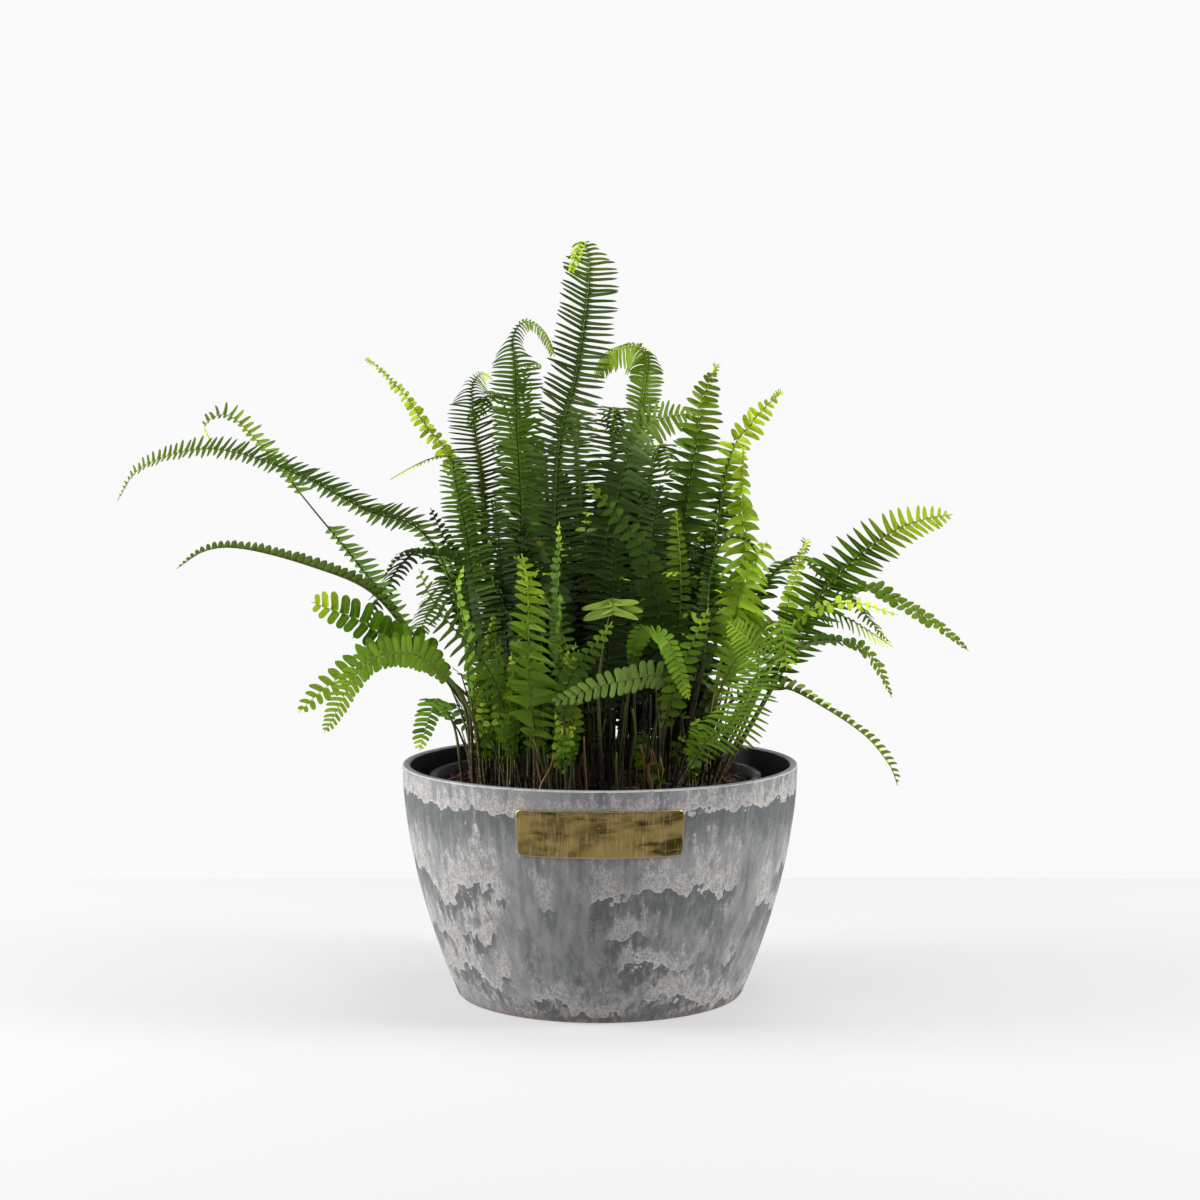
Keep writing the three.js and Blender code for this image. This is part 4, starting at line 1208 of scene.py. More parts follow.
# The upright fronds of the middle.
TALL_FRONDS = (
    FrondPlan(
        "tall_left", foot=(-58, 44), reach=26, bare=0.22, pitch=3.4, width=3.7, side=(0.95, 0.3, 0),
        side_tip=(-0.3, 0.1, -0.9), turn=0.84, limp=0.8, sweep=0.16, hang=0.1, closing=6.0, tail=0.06,
        young=0.06,
        through=((-86, 48, 301), (-92, 56, 386), (-98, 60, 428), (-101, 60, 458), (-100, 54, 472),
                 (-92, 44, 479), (-84, 36, 474)),
    ),
    FrondPlan(
        "tall_middle", foot=(-40, 34), reach=24, bare=0.2, pitch=3.8, width=4.8, side=(0.95, 0.25, 0),
        side_tip=(-0.85, 0, -0.5), turn=0.76, limp=0.8, sweep=0.14, hang=0.12, closing=6.0, tail=0.2,
        through=((-60, 38, 301), (-62, 40, 380), (-65, 42, 435), (-66, 42, 481), (-68, 38, 507),
                 (-58, 28, 519), (-45, 18, 511), (-35, 10, 491)),
    ),
    FrondPlan(
        "tall_behind", look=Look.DARK, foot=(-36, 72), reach=18, bare=0.24, pitch=3.8, side=(0.9, 0.35, 0),
        sweep=0.2, hang=0.1, closing=2.4, young=0.08, curl=2.0,
        through=((-57, 80, 298), (-59, 90, 378), (-60, 94, 434), (-61, 90, 470), (-58, 82, 485),
                 (-49, 76, 483)),
    ),
    FrondPlan(
        "tallest", look=Look.DARK, foot=(-32, 6), reach=27, bare=0.2, pitch=4.4, width=5.0,
        side=(0.95, -0.3, 0), side_tip=(0.9, -0.3, 0.3), turn=0.86, limp=0.4, sweep=0.1, skew=-0.03,
        hang=0.06, closing=9.0, tail=0.11, young=0.16,
        through=((-34, 8, 273), (-32, 10, 412), (-18, 10, 476), (-10, 6, 529), (-8, -2, 563), (-14, -14, 577),
                 (-23, -28, 551)),
    ),
    FrondPlan(
        "nodding", foot=(16, 62), reach=17, bare=0.3, pitch=3.4, width=4.6, side=(0.9, -0.4, 0),
        side_tip=(-0.6, 0.8, 0.5), turn=0.76, limp=0.9, sweep=0.2, hang=0.15, closing=8.0, young=0.34,
        through=((26, 64, 331), (29, 62, 419), (37, 54, 483), (31, 40, 499), (16, 28, 498), (5, 20, 492),
                 (-1, 12, 475)),
    ),
    FrondPlan(
        "upright_right", form=Form.LANCE, foot=(58, 52), reach=28, bare=0.26, pitch=6.2, width=8.6,
        side=(1, 0.1, -0.1), hang=0.2, closing=3.6, young=0.22, curl=4.5, unruly=0.16,
        through=((61, 50, 300), (66, 48, 364), (72, 44, 403), (77, 42, 431), (80, 40, 456), (89, 36, 482)),
    ),
    FrondPlan(
        "leaning_right", form=Form.LANCE, foot=(72, 70), reach=22, bare=0.3, pitch=7.0, width=8.4,
        side=(0.9, 0.2, -0.4), hang=0.25, closing=3.4, young=0.3, curl=4.0, unruly=0.2,
        through=((86, 74, 299), (97, 80, 379), (107, 84, 420), (116, 86, 433), (130, 88, 450),
                 (143, 88, 462)),
    ),
    FrondPlan(
        "lime_upright", look=Look.LIME, form=Form.LANCE, foot=(84, 18), reach=27, bare=0.3, pitch=7.2,
        width=10.4, side=(1, -0.1, 0), sides=(1.0, 0.7), sweep=-0.05, hang=0.5, closing=2.6, young=0.35,
        curl=4.5, unruly=0.3,
        through=((109, 10, 272), (113, 4, 312), (111, 0, 351), (109, 0, 377), (110, -2, 404), (110, -4, 418)),
    ),
    FrondPlan(
        "fan_right", look=Look.LIME, form=Form.LANCE, foot=(74, -18), reach=27, bare=0.52, pitch=7.0,
        width=8.6, side=(0.9, -0.3, -0.4), hang=0.55, opening=0.6, young=0.15, unruly=0.26,
        through=((92, -30, 261), (103, -40, 300), (113, -48, 330), (125, -54, 353)),
    ),
    FrondPlan(
        "arching_middle", look=Look.DARK, form=Form.LANCE, foot=(4, -6), reach=27, bare=0.24, pitch=5.4,
        width=6.2, side=(1, -0.1, 0), side_tip=(0.1, -0.5, -0.9), turn=0.5, hang=0.3, closing=5.0, tail=0.04,
        young=0.2, unruly=0.12,
        through=((2, -6, 274), (4, -4, 335), (9, 0, 366), (16, 2, 390), (24, 0, 421), (34, -8, 437),
                 (51, -18, 445), (75, -24, 448)),
    ),
    FrondPlan(
        "dark_middle", look=Look.DARK, form=Form.LANCE, foot=(2, -34), reach=24, bare=0.24, width=6.4,
        side=(1, 0.2, 0), closing=4.0, young=0.0,
        through=((4, -42, 239), (8, -56, 301), (10, -64, 331), (12, -72, 354)),
    ),
    FrondPlan(
        "young_middle", look=Look.LIGHT, form=Form.OVATE, foot=(52, -22), reach=16, bare=0.3, pitch=5.8,
        width=4.8, side=(1, 0.1, 0.1), sides=(1.0, 0.6), young=0.3,
        through=((57, -28, 261), (61, -34, 307), (60, -38, 344), (57, -40, 376)),
    ),
    FrondPlan(
        "crossing_middle", form=Form.OVATE, foot=(44, -34), reach=14, bare=0.34, pitch=8.0, width=7.0,
        side=(0.8, -0.3, 0.6), hang=0.2, young=0.1,
        through=((47, -46, 278), (40, -62, 316), (32, -74, 348), (24, -78, 360), (8, -84, 378),
                 (-10, -88, 398)),
    ),
    FrondPlan(
        "inner_left", look=Look.DARK, foot=(-66, -4), reach=22, bare=0.24, pitch=4.2, width=5.0,
        side=(0.9, -0.4, 0), closing=4.0, young=0.0,
        through=((-70, -6, 250), (-76, -10, 330), (-80, -22, 385)),
    ),
    FrondPlan(
        "inner_right", look=Look.DARK, form=Form.LANCE, foot=(34, 12), reach=24, bare=0.24, pitch=4.8,
        width=6.2, side=(0.9, 0.4, 0), closing=4.0, young=0.0,
        through=((34, 12, 250), (38, 8, 330), (46, -6, 395)),
    ),
)

# The fronds that spread to the right.
RIGHT_FRONDS = (
    FrondPlan(
        "wide_right", form=Form.LANCE, foot=(92, -6), reach=29, bare=0.28, pitch=6.2, width=6.6,
        side=(0.9, -0.2, -0.5), side_tip=(0.3, -0.2, -1), sweep=0.1, skew=0.25, hang=0.1, closing=2.6,
        young=0.24, unruly=0.1,
        through=((130, -8, 235), (145, -10, 274), (169, -12, 309), (196, -14, 338), (224, -16, 358),
                 (247, -18, 367), (268, -20, 371)),
    ),
    FrondPlan(
        "far_right", look=Look.LIGHT, form=Form.OVATE, foot=(98, 32), reach=12, bare=0.38, pitch=6.4,
        width=8.0, side=(0.35, -0.7, 0.5), cup=0.2, young=0.45, unruly=0.14,
        through=((149, 34, 254), (180, 38, 297), (213, 42, 311), (241, 46, 296), (269, 48, 280),
                 (292, 50, 260)),
    ),
    FrondPlan(
        "drooping_right", form=Form.OVATE, foot=(84, -44), reach=13, bare=0.3, pitch=5.2, width=6.0,
        side=(0.3, -0.8, 0.4), cup=0.2, young=0.3, unruly=0.16,
        through=((110, -58, 241), (146, -74, 274), (169, -82, 281), (193, -90, 276), (205, -94, 261),
                 (214, -96, 240)),
    ),
    FrondPlan(
        "lower_right", look=Look.DARK, form=Form.OBLONG, foot=(74, -62), reach=12, bare=0.34, pitch=5.4,
        width=4.2, side=(0.2, -1, -0.5), side_tip=(0.3, -1, 0), cup=0.6, closing=5.0, young=0.55,
        through=((87, -80, 223), (109, -100, 244), (132, -112, 249), (153, -120, 241), (189, -130, 218),
                 (208, -134, 196), (214, -136, 181)),
    ),
    FrondPlan(
        "lime_crozier", look=Look.LIME, form=Form.OVATE, foot=(88, 12), reach=9, bare=0.55, pitch=4.2,
        side=(0.9, 0.2, -0.3), young=0.6, curl=5.0,
        through=((139, 16, 264), (147, 20, 303), (153, 22, 324), (158, 22, 345)),
    ),
    FrondPlan(
        "lime_right", look=Look.LIME, form=Form.OVATE, foot=(90, -24), reach=9, bare=0.54, pitch=7.0,
        width=5.4, side=(0.3, -0.8, -0.7), closing=4.0, young=0.5, unruly=0.28,
        through=((132, -36, 261), (150, -46, 293), (172, -52, 305), (194, -58, 306), (208, -62, 302),
                 (222, -64, 298)),
    ),
    FrondPlan(
        "back_right", foot=(86, 52), reach=18, bare=0.46, pitch=5.2, width=3.8, side=(0, -1, -0.4), hang=0.3,
        young=0.25,
        through=((150, 60, 268), (171, 70, 291), (196, 78, 285), (218, 84, 272), (236, 88, 260)),
    ),
    FrondPlan(
        "sweeping_right", look=Look.LIGHT, foot=(54, -86), reach=27, bare=0.2, pitch=4.2, width=4.2,
        side=(0.75, 0.1, -0.6), side_tip=(0.7, 0.3, 0.5), closing=2.4, young=0.15, unruly=0.1,
        through=((76, -98, 205), (93, -110, 221), (106, -122, 242), (114, -134, 267), (108, -146, 284),
                 (90, -156, 301)),
    ),
    FrondPlan(
        "spotted_right", look=Look.FRECKLED, form=Form.LANCE, foot=(70, -34), reach=20, bare=0.4, pitch=6.0,
        width=5.8, side=(0.7, 0.2, -0.6), side_tip=(0.9, 0, -0.2), hang=0.2, closing=4.0, young=0.08,
        through=((90, -64, 242), (110, -90, 282), (127, -104, 296), (133, -112, 288), (135, -120, 262)),
    ),
    FrondPlan(
        "dark_right", look=Look.DARK, form=Form.OVATE, foot=(58, -52), reach=10, bare=0.46, pitch=4.6,
        width=5.0, side=(0.5, -0.85, -0.2), cup=0.7, young=0.0,
        through=((77, -70, 265), (81, -82, 325), (89, -86, 353), (98, -88, 357), (108, -90, 354),
                 (114, -92, 346)),
    ),
)

# The short fronds at the front.
FRONT_FRONDS = (
    FrondPlan(
        "front_light", look=Look.LIGHT, form=Form.LANCE, foot=(-48, -84), reach=27, bare=0.2, pitch=6.8,
        width=7.4, side=(1, 0.1, 0), sides=(0.9, 1.0), sweep=0.12, skew=-0.3, hang=0.25, closing=2.0,
        young=0.3, unruly=0.22,
        through=((-49, -88, 216), (-52, -92, 245), (-52, -98, 284), (-53, -102, 324), (-57, -104, 346)),
    ),
    FrondPlan(
        "comb_front", look=Look.PALE, form=Form.OBLONG, foot=(66, -40), reach=14, bare=0.38, pitch=6.6,
        width=5.8, side=(0.9, -0.3, 0.1), side_tip=(-0.5, -0.3, 0.8), turn=-0.3, sides=(0.8, 1.0), sweep=0.25,
        closing=5.0, young=0.0,
        through=((59, -62, 234), (46, -84, 255), (23, -104, 254), (1, -118, 251), (-19, -126, 245),
                 (-35, -130, 240)),
    ),
    FrondPlan(
        "claw_front", look=Look.LIGHT, form=Form.OBLONG, foot=(14, -60), reach=10, bare=0.46, pitch=4.2,
        width=4.2, side=(0.9, 0.3, -0.1), side_tip=(-0.95, -0.1, -0.3), turn=0.45, sides=(0.7, 1.0),
        closing=5.0, young=0.1,
        through=((23, -84, 259), (29, -104, 290), (41, -118, 290), (50, -126, 283), (58, -132, 262),
                 (64, -136, 243)),
    ),
    FrondPlan(
        "edge_middle", look=Look.LIGHT, form=Form.OVATE, foot=(-36, -68), reach=11, bare=0.4, pitch=5.6,
        width=6.6, side=(0.45, -0.9, 0), cup=0.2, young=0.1, unruly=0.16,
        through=((-32, -72, 235), (-32, -76, 303), (-31, -78, 340), (-30, -78, 368)),
    ),
    FrondPlan(
        "pale_middle", look=Look.PALE, form=Form.LANCE, foot=(2, -76), reach=25, bare=0.95, pitch=18.0,
        width=7.0, side=(0.8, -0.4, 0.25), sweep=-0.3, skew=0.35, hang=0.05, opening=0.95, closing=9.0,
        young=0.9,
        through=((-1, -90, 237), (2, -104, 276), (9, -116, 313)),
    ),
    FrondPlan(
        "bright_right", look=Look.LIGHT, form=Form.OVATE, foot=(42, -52), reach=13, bare=0.32, pitch=7.0,
        width=6.6, side=(0.8, 0.5, -0.4), young=0.2,
        through=((50, -64, 219), (60, -84, 259), (70, -96, 285), (79, -104, 306)),
    ),
    FrondPlan(
        "front_middle", form=Form.OVATE, foot=(-24, -92), reach=11, bare=0.4, pitch=6.4, width=6.0,
        side=(1, 0.2, 0), young=0.2,
        through=((-26, -98, 238), (-17, -108, 263), (-1, -118, 284), (9, -124, 298)),
    ),
)


@dataclass(frozen=True)
class Tier:
    """A fan of fronds that leans out over the back of the pot, in millimetres and degrees.

    The first leans to bearing, counted from the right round to the back, and each of the others a
    step further. They stand at root from the axis, rise to crest and end at out from it and at
    the height of tip.
    """

    name: str
    count: int
    bearing: float
    step: float
    root: float
    out: float
    crest: float
    tip: float
    reach: float

    def plans(self) -> list[FrondPlan]:
        """Returns the tier's fronds."""
        return [self._plan(index) for index in range(self.count)]

    def _plan(self, index: int) -> FrondPlan:
        """Returns one frond of the tier."""
        bearing = math.radians(self.bearing + self.step * index)
        wave = math.sin(2.4 * index + self.out)
        out = self.out * (1.0 + 0.08 * math.cos(3.1 * index))

        def along(radius: float, height: float) -> Triple:
            """Returns the point that far out at that height."""
            return radius * math.cos(bearing), radius * math.sin(bearing), height * (1.0 + 0.05 * wave)

        rise = (0.15, 0.78 * self.crest), (0.52, self.crest)
        through = (*(along(self.root + share * (out - self.root), height) for share, height in rise),
                   along(out, self.tip))
        side = (-math.sin(bearing), math.cos(bearing), 0.1 * wave)
        look = (Look.GREEN, Look.DARK)[index % 2]
        return FrondPlan(
            f"{self.name}_{index + 1}", along(self.root, 0.0)[:2], through, side, self.reach, bare=0.26,
            look=look, pitch=4.8, width=5.6,
        )


TIERS = (
    Tier("back_low", 6, 22, 27, 84, 235, 325, 255, 27),
    Tier("back_high", 5, 64, 19, 64, 130, 440, 415, 28),
)


def crown_plans() -> list[FrondPlan]:
    """Returns every frond of the crown: those of the near half one by one, then two tiers behind."""
    near = LEFT_FRONDS + TALL_FRONDS + RIGHT_FRONDS + FRONT_FRONDS
    return [*near, *(plan for tier in TIERS for plan in tier.plans())]


class Route:
    """A smooth line through points, measured by its length, with a frame that leans to a side."""

    DIVISIONS = 200
    STEP = 1e-3

    def __init__(self, points: list[Vector], side: Vector, side_tip: Vector, turn: float = 0.0) -> None:
        """Measures the line.

        Args:
            points: What it passes through.
            side: The way to the right at its start.
            side_tip: The way to the right at its end.
            turn: The share of the length at which it begins to turn from one to the other.
        """
        self.turn = turn
        first, last = 2 * points[0] - points[1], 2 * points[-1] - points[-2]
        self.points = [first, *points, last]
        self.side = side.normalized()
        self.side_tip = side_tip.normalized()
        steps = [self._at(index / self.DIVISIONS) for index in range(self.DIVISIONS + 1)]
        self.lengths = [0.0]
        for before, after in zip(steps, steps[1:]):
            self.lengths.append(self.lengths[-1] + (after - before).length)
        self.length = self.lengths[-1]

    def _at(self, t: float) -> Vector:
        """Returns the point at a parameter from 0 to 1."""
        spans = len(self.points) - 3
        index = min(int(t * spans), spans - 1)
        w = t * spans - index
        p0, p1, p2, p3 = self.points[index:index + 4]
        v0, v1 = (p2 - p0) * 0.5, (p3 - p1) * 0.5
        return (2 * p1 - 2 * p2 + v0 + v1) * w ** 3 + (3 * p2 - 3 * p1 - 2 * v0 - v1) * w ** 2 + v0 * w + p1

    def _parameter(self, share: float) -> float:
        """Returns the parameter at a share of the length."""
        goal = min(max(share, 0.0), 1.0) * self.length
        low, high = 0, self.DIVISIONS
        while high - low > 1:
            middle = (low + high) // 2
            low, high = (middle, high) if self.lengths[middle] <= goal else (low, middle)
        span = self.lengths[high] - self.lengths[low]
        return (low + (goal - self.lengths[low]) / span) / self.DIVISIONS

    def frame(self, share: float) -> tuple[Vector, Vector, Vector, Vector]:
        """Returns the place, and the ways ahead, right and up out of the blade, at a share of the length."""
        t = self._parameter(share)
        ahead = (self._at(min(t + self.STEP, 1.0)) - self._at(max(t - self.STEP, 0.0))).normalized()
        right = self.side.lerp(self.side_tip, max(share - self.turn, 0.0) / (1.0 - self.turn))
        right = (right - ahead * right.dot(ahead)).normalized()
        return self._at(t), ahead, right, right.cross(ahead)


@dataclass(frozen=True)
class Ring:
    """One section of a tube: its middle, two ways across it, its radius and its share of the length."""

    place: Vector
    right: Vector
    top: Vector
    radius: float
    share: float
    youth: float = 0.0


def add_tube(bm: BMesh, rings: list[Ring], sides: int, material_index: int) -> None:
    """Adds a closed tube through its rings, whose first and last have no radius.

    Args:
        bm: The mesh, with a "leaf" UV map and a "growth" attribute.
        rings: The sections in order.
        sides: Faces round.
        material_index: Its material slot.
    """
    made = bmesh.ops.create_grid(bm, x_segments=len(rings) - 1, y_segments=sides, size=1.0)["verts"]
    leaf_map = bm.loops.layers.uv["leaf"]
    growth = bm.verts.layers.float_color["growth"]
    spots = {}
    for vert in made:
        ring = rings[round((vert.co.x + 1.0) / 2.0 * (len(rings) - 1))]
        angle = (vert.co.y + 1.0) * math.pi
        spot = ring.place + ring.right * (ring.radius * math.cos(angle))
        spots[vert] = (spot + ring.top * (ring.radius * math.sin(angle)), ring.share)
        vert[growth] = (0.5, ring.youth, 0.0, 1.0)
    for face in {face for vert in made for face in vert.link_faces}:
        face.material_index = material_index
        for loop in face.loops:
            loop[leaf_map].uv = (0.5, spots[loop.vert][1])
    for vert, (spot, _) in spots.items():
        vert.co = spot


class LeafletMould:
    """One leaflet as a closed lens of two welded grids, which every frond copies and bends."""

    CROWDING = 1.35

    def __init__(self, segments: int) -> None:
        """Makes the flat pattern: x across -1 to 1, y along 0 to 1, z 1 on top and -1 below.

        Args:
            segments: Faces along it, which are shortest at its tip.
        """
        bm = bmesh.new()
        leaf_map = bm.loops.layers.uv.new("leaf")
        for face_side in (1.0, -1.0):
            made = bmesh.ops.create_grid(bm, x_segments=2, y_segments=segments, size=1.0)["verts"]
            faces = {face for vert in made for face in vert.link_faces}
            for vert in made:
                inside = abs(vert.co.x) < 0.5 and abs(vert.co.y) < 0.99
                vert.co.y = 1.0 - (0.5 - vert.co.y / 2.0) ** self.CROWDING
                vert.co.z = face_side if inside else 0.0
            for face in faces:
                for loop in face.loops:
                    loop[leaf_map].uv = ((loop.vert.co.x + 1.0) / 2.0 + 1.0 - face_side, loop.vert.co.y)
            if face_side < 0:
                bmesh.ops.reverse_faces(bm, faces=list(faces))
        bmesh.ops.remove_doubles(bm, verts=bm.verts, dist=1e-5)
        for edge in bm.edges:
            edge.smooth = any(abs(vert.co.z) > 0.5 for vert in edge.verts)
        self.mesh = bpy.data.meshes.new("leaflet_mould")
        bm.to_mesh(self.mesh)
        bm.free()

    def stamp(self, bm: BMesh, bend: Callable[[float, float, float], Vector], growth: Triple,
              material_index: int) -> None:
        """Adds one bent copy to a frond.

        Args:
            bm: The frond's mesh.
            bend: Maps the pattern's x, y and z to the copy's place.
            growth: Chance, youth and wear, for its colour.
            material_index: Its material slot.
        """
        verts_before, faces_before = len(bm.verts), len(bm.faces)
        bm.from_mesh(self.mesh)
        bm.verts.ensure_lookup_table()
        bm.faces.ensure_lookup_table()
        layer = bm.verts.layers.float_color["growth"]
        for index in range(verts_before, len(bm.verts)):
            vert = bm.verts[index]
            vert.co = bend(*vert.co)
            vert[layer] = (*growth, 1.0)
        for index in range(faces_before, len(bm.faces)):
            bm.faces[index].material_index = material_index


@dataclass
class Frond:
    """One frond with all its leaflets.

    sides is how many faces the rib has round it, thickness the leaflets' greatest thickness,
    ring_step the spacing of the rib's sections, and buried how deep the stem goes into the soil.
    Its leaflets take the slot first_material, and its stem the next one.
    """

    plan: FrondPlan
    soil: SoilBed
    mould: LeafletMould
    stem_radius: float = 1.55 * MM
    rib_radius: float = 0.8 * MM
    sides: int = 6
    thickness: float = 0.15 * MM
    first_material: int = 0
    ring_step: float = 7 * MM
    buried: float = 7 * MM
    curl_radius: float = 0.6 * MM
    draw: random.Random = field(init=False)

    def __post_init__(self) -> None:
        """Lays out the rib's line."""
        plan = self.plan
        self.draw = random.Random(sum(ord(letter) * (place + 3) for place, letter in enumerate(plan.name)))
        foot = Vector((plan.foot[0], plan.foot[1], 0.0)) * MM
        foot.z = self.soil.height(foot.x, foot.y) + 2 * MM
        points = [foot] + [Vector(point) * MM for point in plan.through]
        self.route = Route(points, Vector(plan.side), Vector(plan.side_tip or plan.side), plan.turn)
        lean = points[-1] - foot
        self.face = 1.0 if Vector(plan.side).dot(lean.cross(Vector((0, 0, 1)))) >= 0.0 else -1.0
        self.phase = self.draw.uniform(0, 2 * math.pi)

    def _youth(self, open_share: float) -> float:
        """Returns how young the blade is at a share of it, from 0 to 1."""
        young = self.plan.young
        return smooth(1.0 - 1.7 * young, 1.0 - 0.25 * young, open_share) if young else 0.0

    def _rib_radius(self, share: float) -> float:
        """Returns the rib's radius at a share of its length."""
        low = mix(self.stem_radius, self.rib_radius, smooth(0.0, self.plan.bare + 0.1, share))
        return low * mix(1.0, 0.42, smooth(0.45, 1.0, share))

    def _spiral(self) -> list[tuple[Vector, Vector, Vector]]:
        """Returns the places of the rolled tip, each with the way out of the roll and the way on."""
        size = self.plan.curl * MM
        place, ahead, _, top = self.route.frame(1.0)
        heart = place - top * (self.face * size)
        steps, half_turns, tighter = 14, 2.6, 0.62
        spots = []
        for index in range(1, steps + 1):
            turn = index / steps * half_turns * math.pi
            out = top * (self.face * math.cos(turn)) + ahead * math.sin(turn)
            on = ahead * math.cos(turn) - top * (self.face * math.sin(turn))
            spots.append((heart + out * (size * (1.0 - tighter * index / steps)), out, on))
        return spots

    def _rib(self, bm: BMesh) -> None:
        """Adds the stem and rib: a closed tube from under the soil to the tip, with its curl."""
        foot, _, right, top = self.route.frame(0.0)
        rings = [
            Ring(foot - Vector((0, 0, self.buried + 1 * MM)), right, top, 0.0, 0.0),
            Ring(foot - Vector((0, 0, self.buried)), right, top, self.stem_radius, 0.0),
        ]
        count = max(int(self.route.length / self.ring_step), 10)
        for index in range(count + 1):
            share = index / count
            place, _, right, top = self.route.frame(share)
            open_share = (share - self.plan.bare) / (1.0 - self.plan.bare)
            rings.append(Ring(place, right, top, self._rib_radius(share), share, self._youth(open_share)))
        place, ahead, right, top = self.route.frame(1.0)
        if self.plan.curl:
            for place, out, ahead in self._spiral():
                rings.append(Ring(place, right, out, self.curl_radius, 1.0, 1.0))
                top = out
        rings.append(Ring(place + ahead * 0.2 * MM, right, top, 0.0, 1.0, 1.0))
        add_tube(bm, rings, self.sides, self.first_material + 1)

    def _fullness(self, open_share: float) -> float:
        """Returns the leaflets' length at a share of the blade, as a share of the longest."""
        plan = self.plan
        full = mix(plan.opening, 1.0, smooth(0.0, 0.22, open_share))
        full *= max(1.0 - open_share ** plan.closing, 0.0) ** 0.6
        in_tail = smooth(1.0 - plan.tail - 0.06, 1.0 - plan.tail + 0.04, open_share)
        return max(full * mix(1.0, 0.37, in_tail), 0.12)

    def _pose(self, share: float, open_share: float, sign: int) -> tuple[Vector, Vector, Vector, Vector]:
        """Draws how one leaflet is held.

        Args:
            share: Where on the rib it grows.
            open_share: How far along the blade that is.
            sign: 1 on the right, -1 on the left.

        Returns:
            Where it starts, and the ways along it, across it and up from its face.
        """
        draw, plan = self.draw, self.plan
        place, ahead, right, top = self.route.frame(share)
        top = top * self.face
        drift = 0.07 * math.sin(5.0 * open_share + self.phase + sign)
        sweep = plan.sweep + sign * plan.skew + 0.4 * open_share ** 4 + drift
        sweep += plan.unruly * draw.uniform(-1.0, 1.0)
        cup = plan.cup + 0.06 * math.sin(9.0 * open_share - self.phase)
        cup += plan.unruly * draw.uniform(-1.2, 1.2)
        twist = plan.twist + plan.unruly * draw.uniform(-2.5, 2.5)
        flat = right * sign
        level = flat * math.cos(sweep) + ahead * math.sin(sweep)
        forward = ahead * math.cos(sweep) - flat * math.sin(sweep)
        outward = level * math.cos(cup) + top * math.sin(cup)
        normal = top * math.cos(cup) - level * math.sin(cup)
        lift = normal * math.cos(twist) - forward * math.sin(twist)
        forward = forward * math.cos(twist) + normal * math.sin(twist)
        return place + outward * (self._rib_radius(share) * 0.5), outward, forward, lift

    def _leaflet(self, bm: BMesh, share: float, open_share: float, sign: int, pitch: float) -> None:
        """Adds one leaflet.

        Args:
            bm: The frond's mesh.
            share: Where on the rib it grows.
            open_share: How far along the blade that is.
            sign: 1 on the right, -1 on the left.
            pitch: The space it has along the rib, as a share of the plan's.
        """
        draw, plan = self.draw, self.plan
        youth = self._youth(open_share)
        fullness = self._fullness(open_share)
        length = plan.reach * MM * plan.sides[0 if sign < 0 else 1] * fullness
        length *= draw.uniform(1.0 - 1.4 * plan.unruly, 1.0)
        root, outward, forward, lift = self._pose(share, open_share, sign)
        half = 0.5 * plan.width * MM * pitch * mix(0.7, 1.0, fullness) * mix(1.12, 0.92, open_share)
        half *= draw.uniform(0.9, 1.08)
        limp = plan.limp * smooth(plan.turn, mix(plan.turn, 1.0, 0.4), share)
        length *= 1.0 - min(limp, 0.55) * max(outward.z, 0.0)
        hang = (plan.hang * (0.75 + 0.5 * draw.random()) + limp) * math.hypot(outward.x, outward.y)
        arch = draw.uniform(0.0, 0.1)
        fold = draw.uniform(0.1, 0.34)
        falcate = draw.uniform(0.02, 0.1)
        ripple = draw.uniform(0.0, 0.04)
        thickness = self.thickness * mix(0.5, 1.0, fullness)

        def bend(x: float, y: float, z: float) -> Vector:
            """Maps the flat pattern to this leaflet."""
            width = half * mix(plan.form.half_width(y), Form.OBLONG.half_width(y), 0.5 * youth)
            ear = 1.0 + 0.25 * (1.0 - smooth(0.05, 0.3, y)) if x > 0 else 1.0
            across = x * width * ear + falcate * length * y * y
            height = z * thickness * (1.0 - y ** 3) - abs(x) * width * fold
            height += (ripple * math.sin(7.0 * y + 3.0 * x) - arch * y * y) * length
            bent = root + outward * (y * length) + forward * across + lift * height
            return bent + Vector((0, 0, -1)) * (hang * y * y * length)

        wear = draw.random() ** 3
        self.mould.stamp(bm, bend, (draw.random(), youth, wear), self.first_material)

    def _curl_leaflets(self, bm: BMesh) -> None:
        """Adds the tiny leaflets round the rolled tip."""
        _, _, right, _ = self.route.frame(1.0)
        pairs = 9
        size = 0.75 * self.plan.curl * MM
        half = 0.24 * size
        for place, out, on in self._spiral()[:pairs]:
            for sign in (-1.0, 1.0):
                way = (right * (sign * 0.8) + out * 0.7).normalized()

                def bend(x: float, y: float, z: float) -> Vector:
                    """Maps the flat pattern to this leaflet."""
                    across = x * half * Form.OVATE.half_width(y)
                    return place + way * (y * size) + on * across + out * (z * 0.1 * MM * (1.0 - y))

                self.mould.stamp(bm, bend, (self.draw.random(), 1.0, 0.0), self.first_material)

    def grow(self, bm: BMesh) -> None:
        """Adds the whole frond to a mesh.

        Args:
            bm: The mesh, with a "leaf" UV map and a "growth" attribute.
        """
        plan = self.plan
        self._rib(bm)
        blade = (1.0 - plan.bare) * self.route.length
        pairs = max(int(blade / (plan.pitch * MM)), 3)
        for index in range(pairs):
            for sign in (-1, 1):
                step = (index + (0.25 if sign > 0 else 0.0)) / pairs
                open_share = 1.0 - (1.0 - 0.985 * step) ** 1.15
                if plan.broken[0] < open_share < plan.broken[1]:
                    continue
                share = plan.bare + (1.0 - plan.bare) * open_share
                self._leaflet(bm, share, open_share, sign, mix(1.06, 0.6, open_share ** 3))
        if plan.curl:
            self._curl_leaflets(bm)

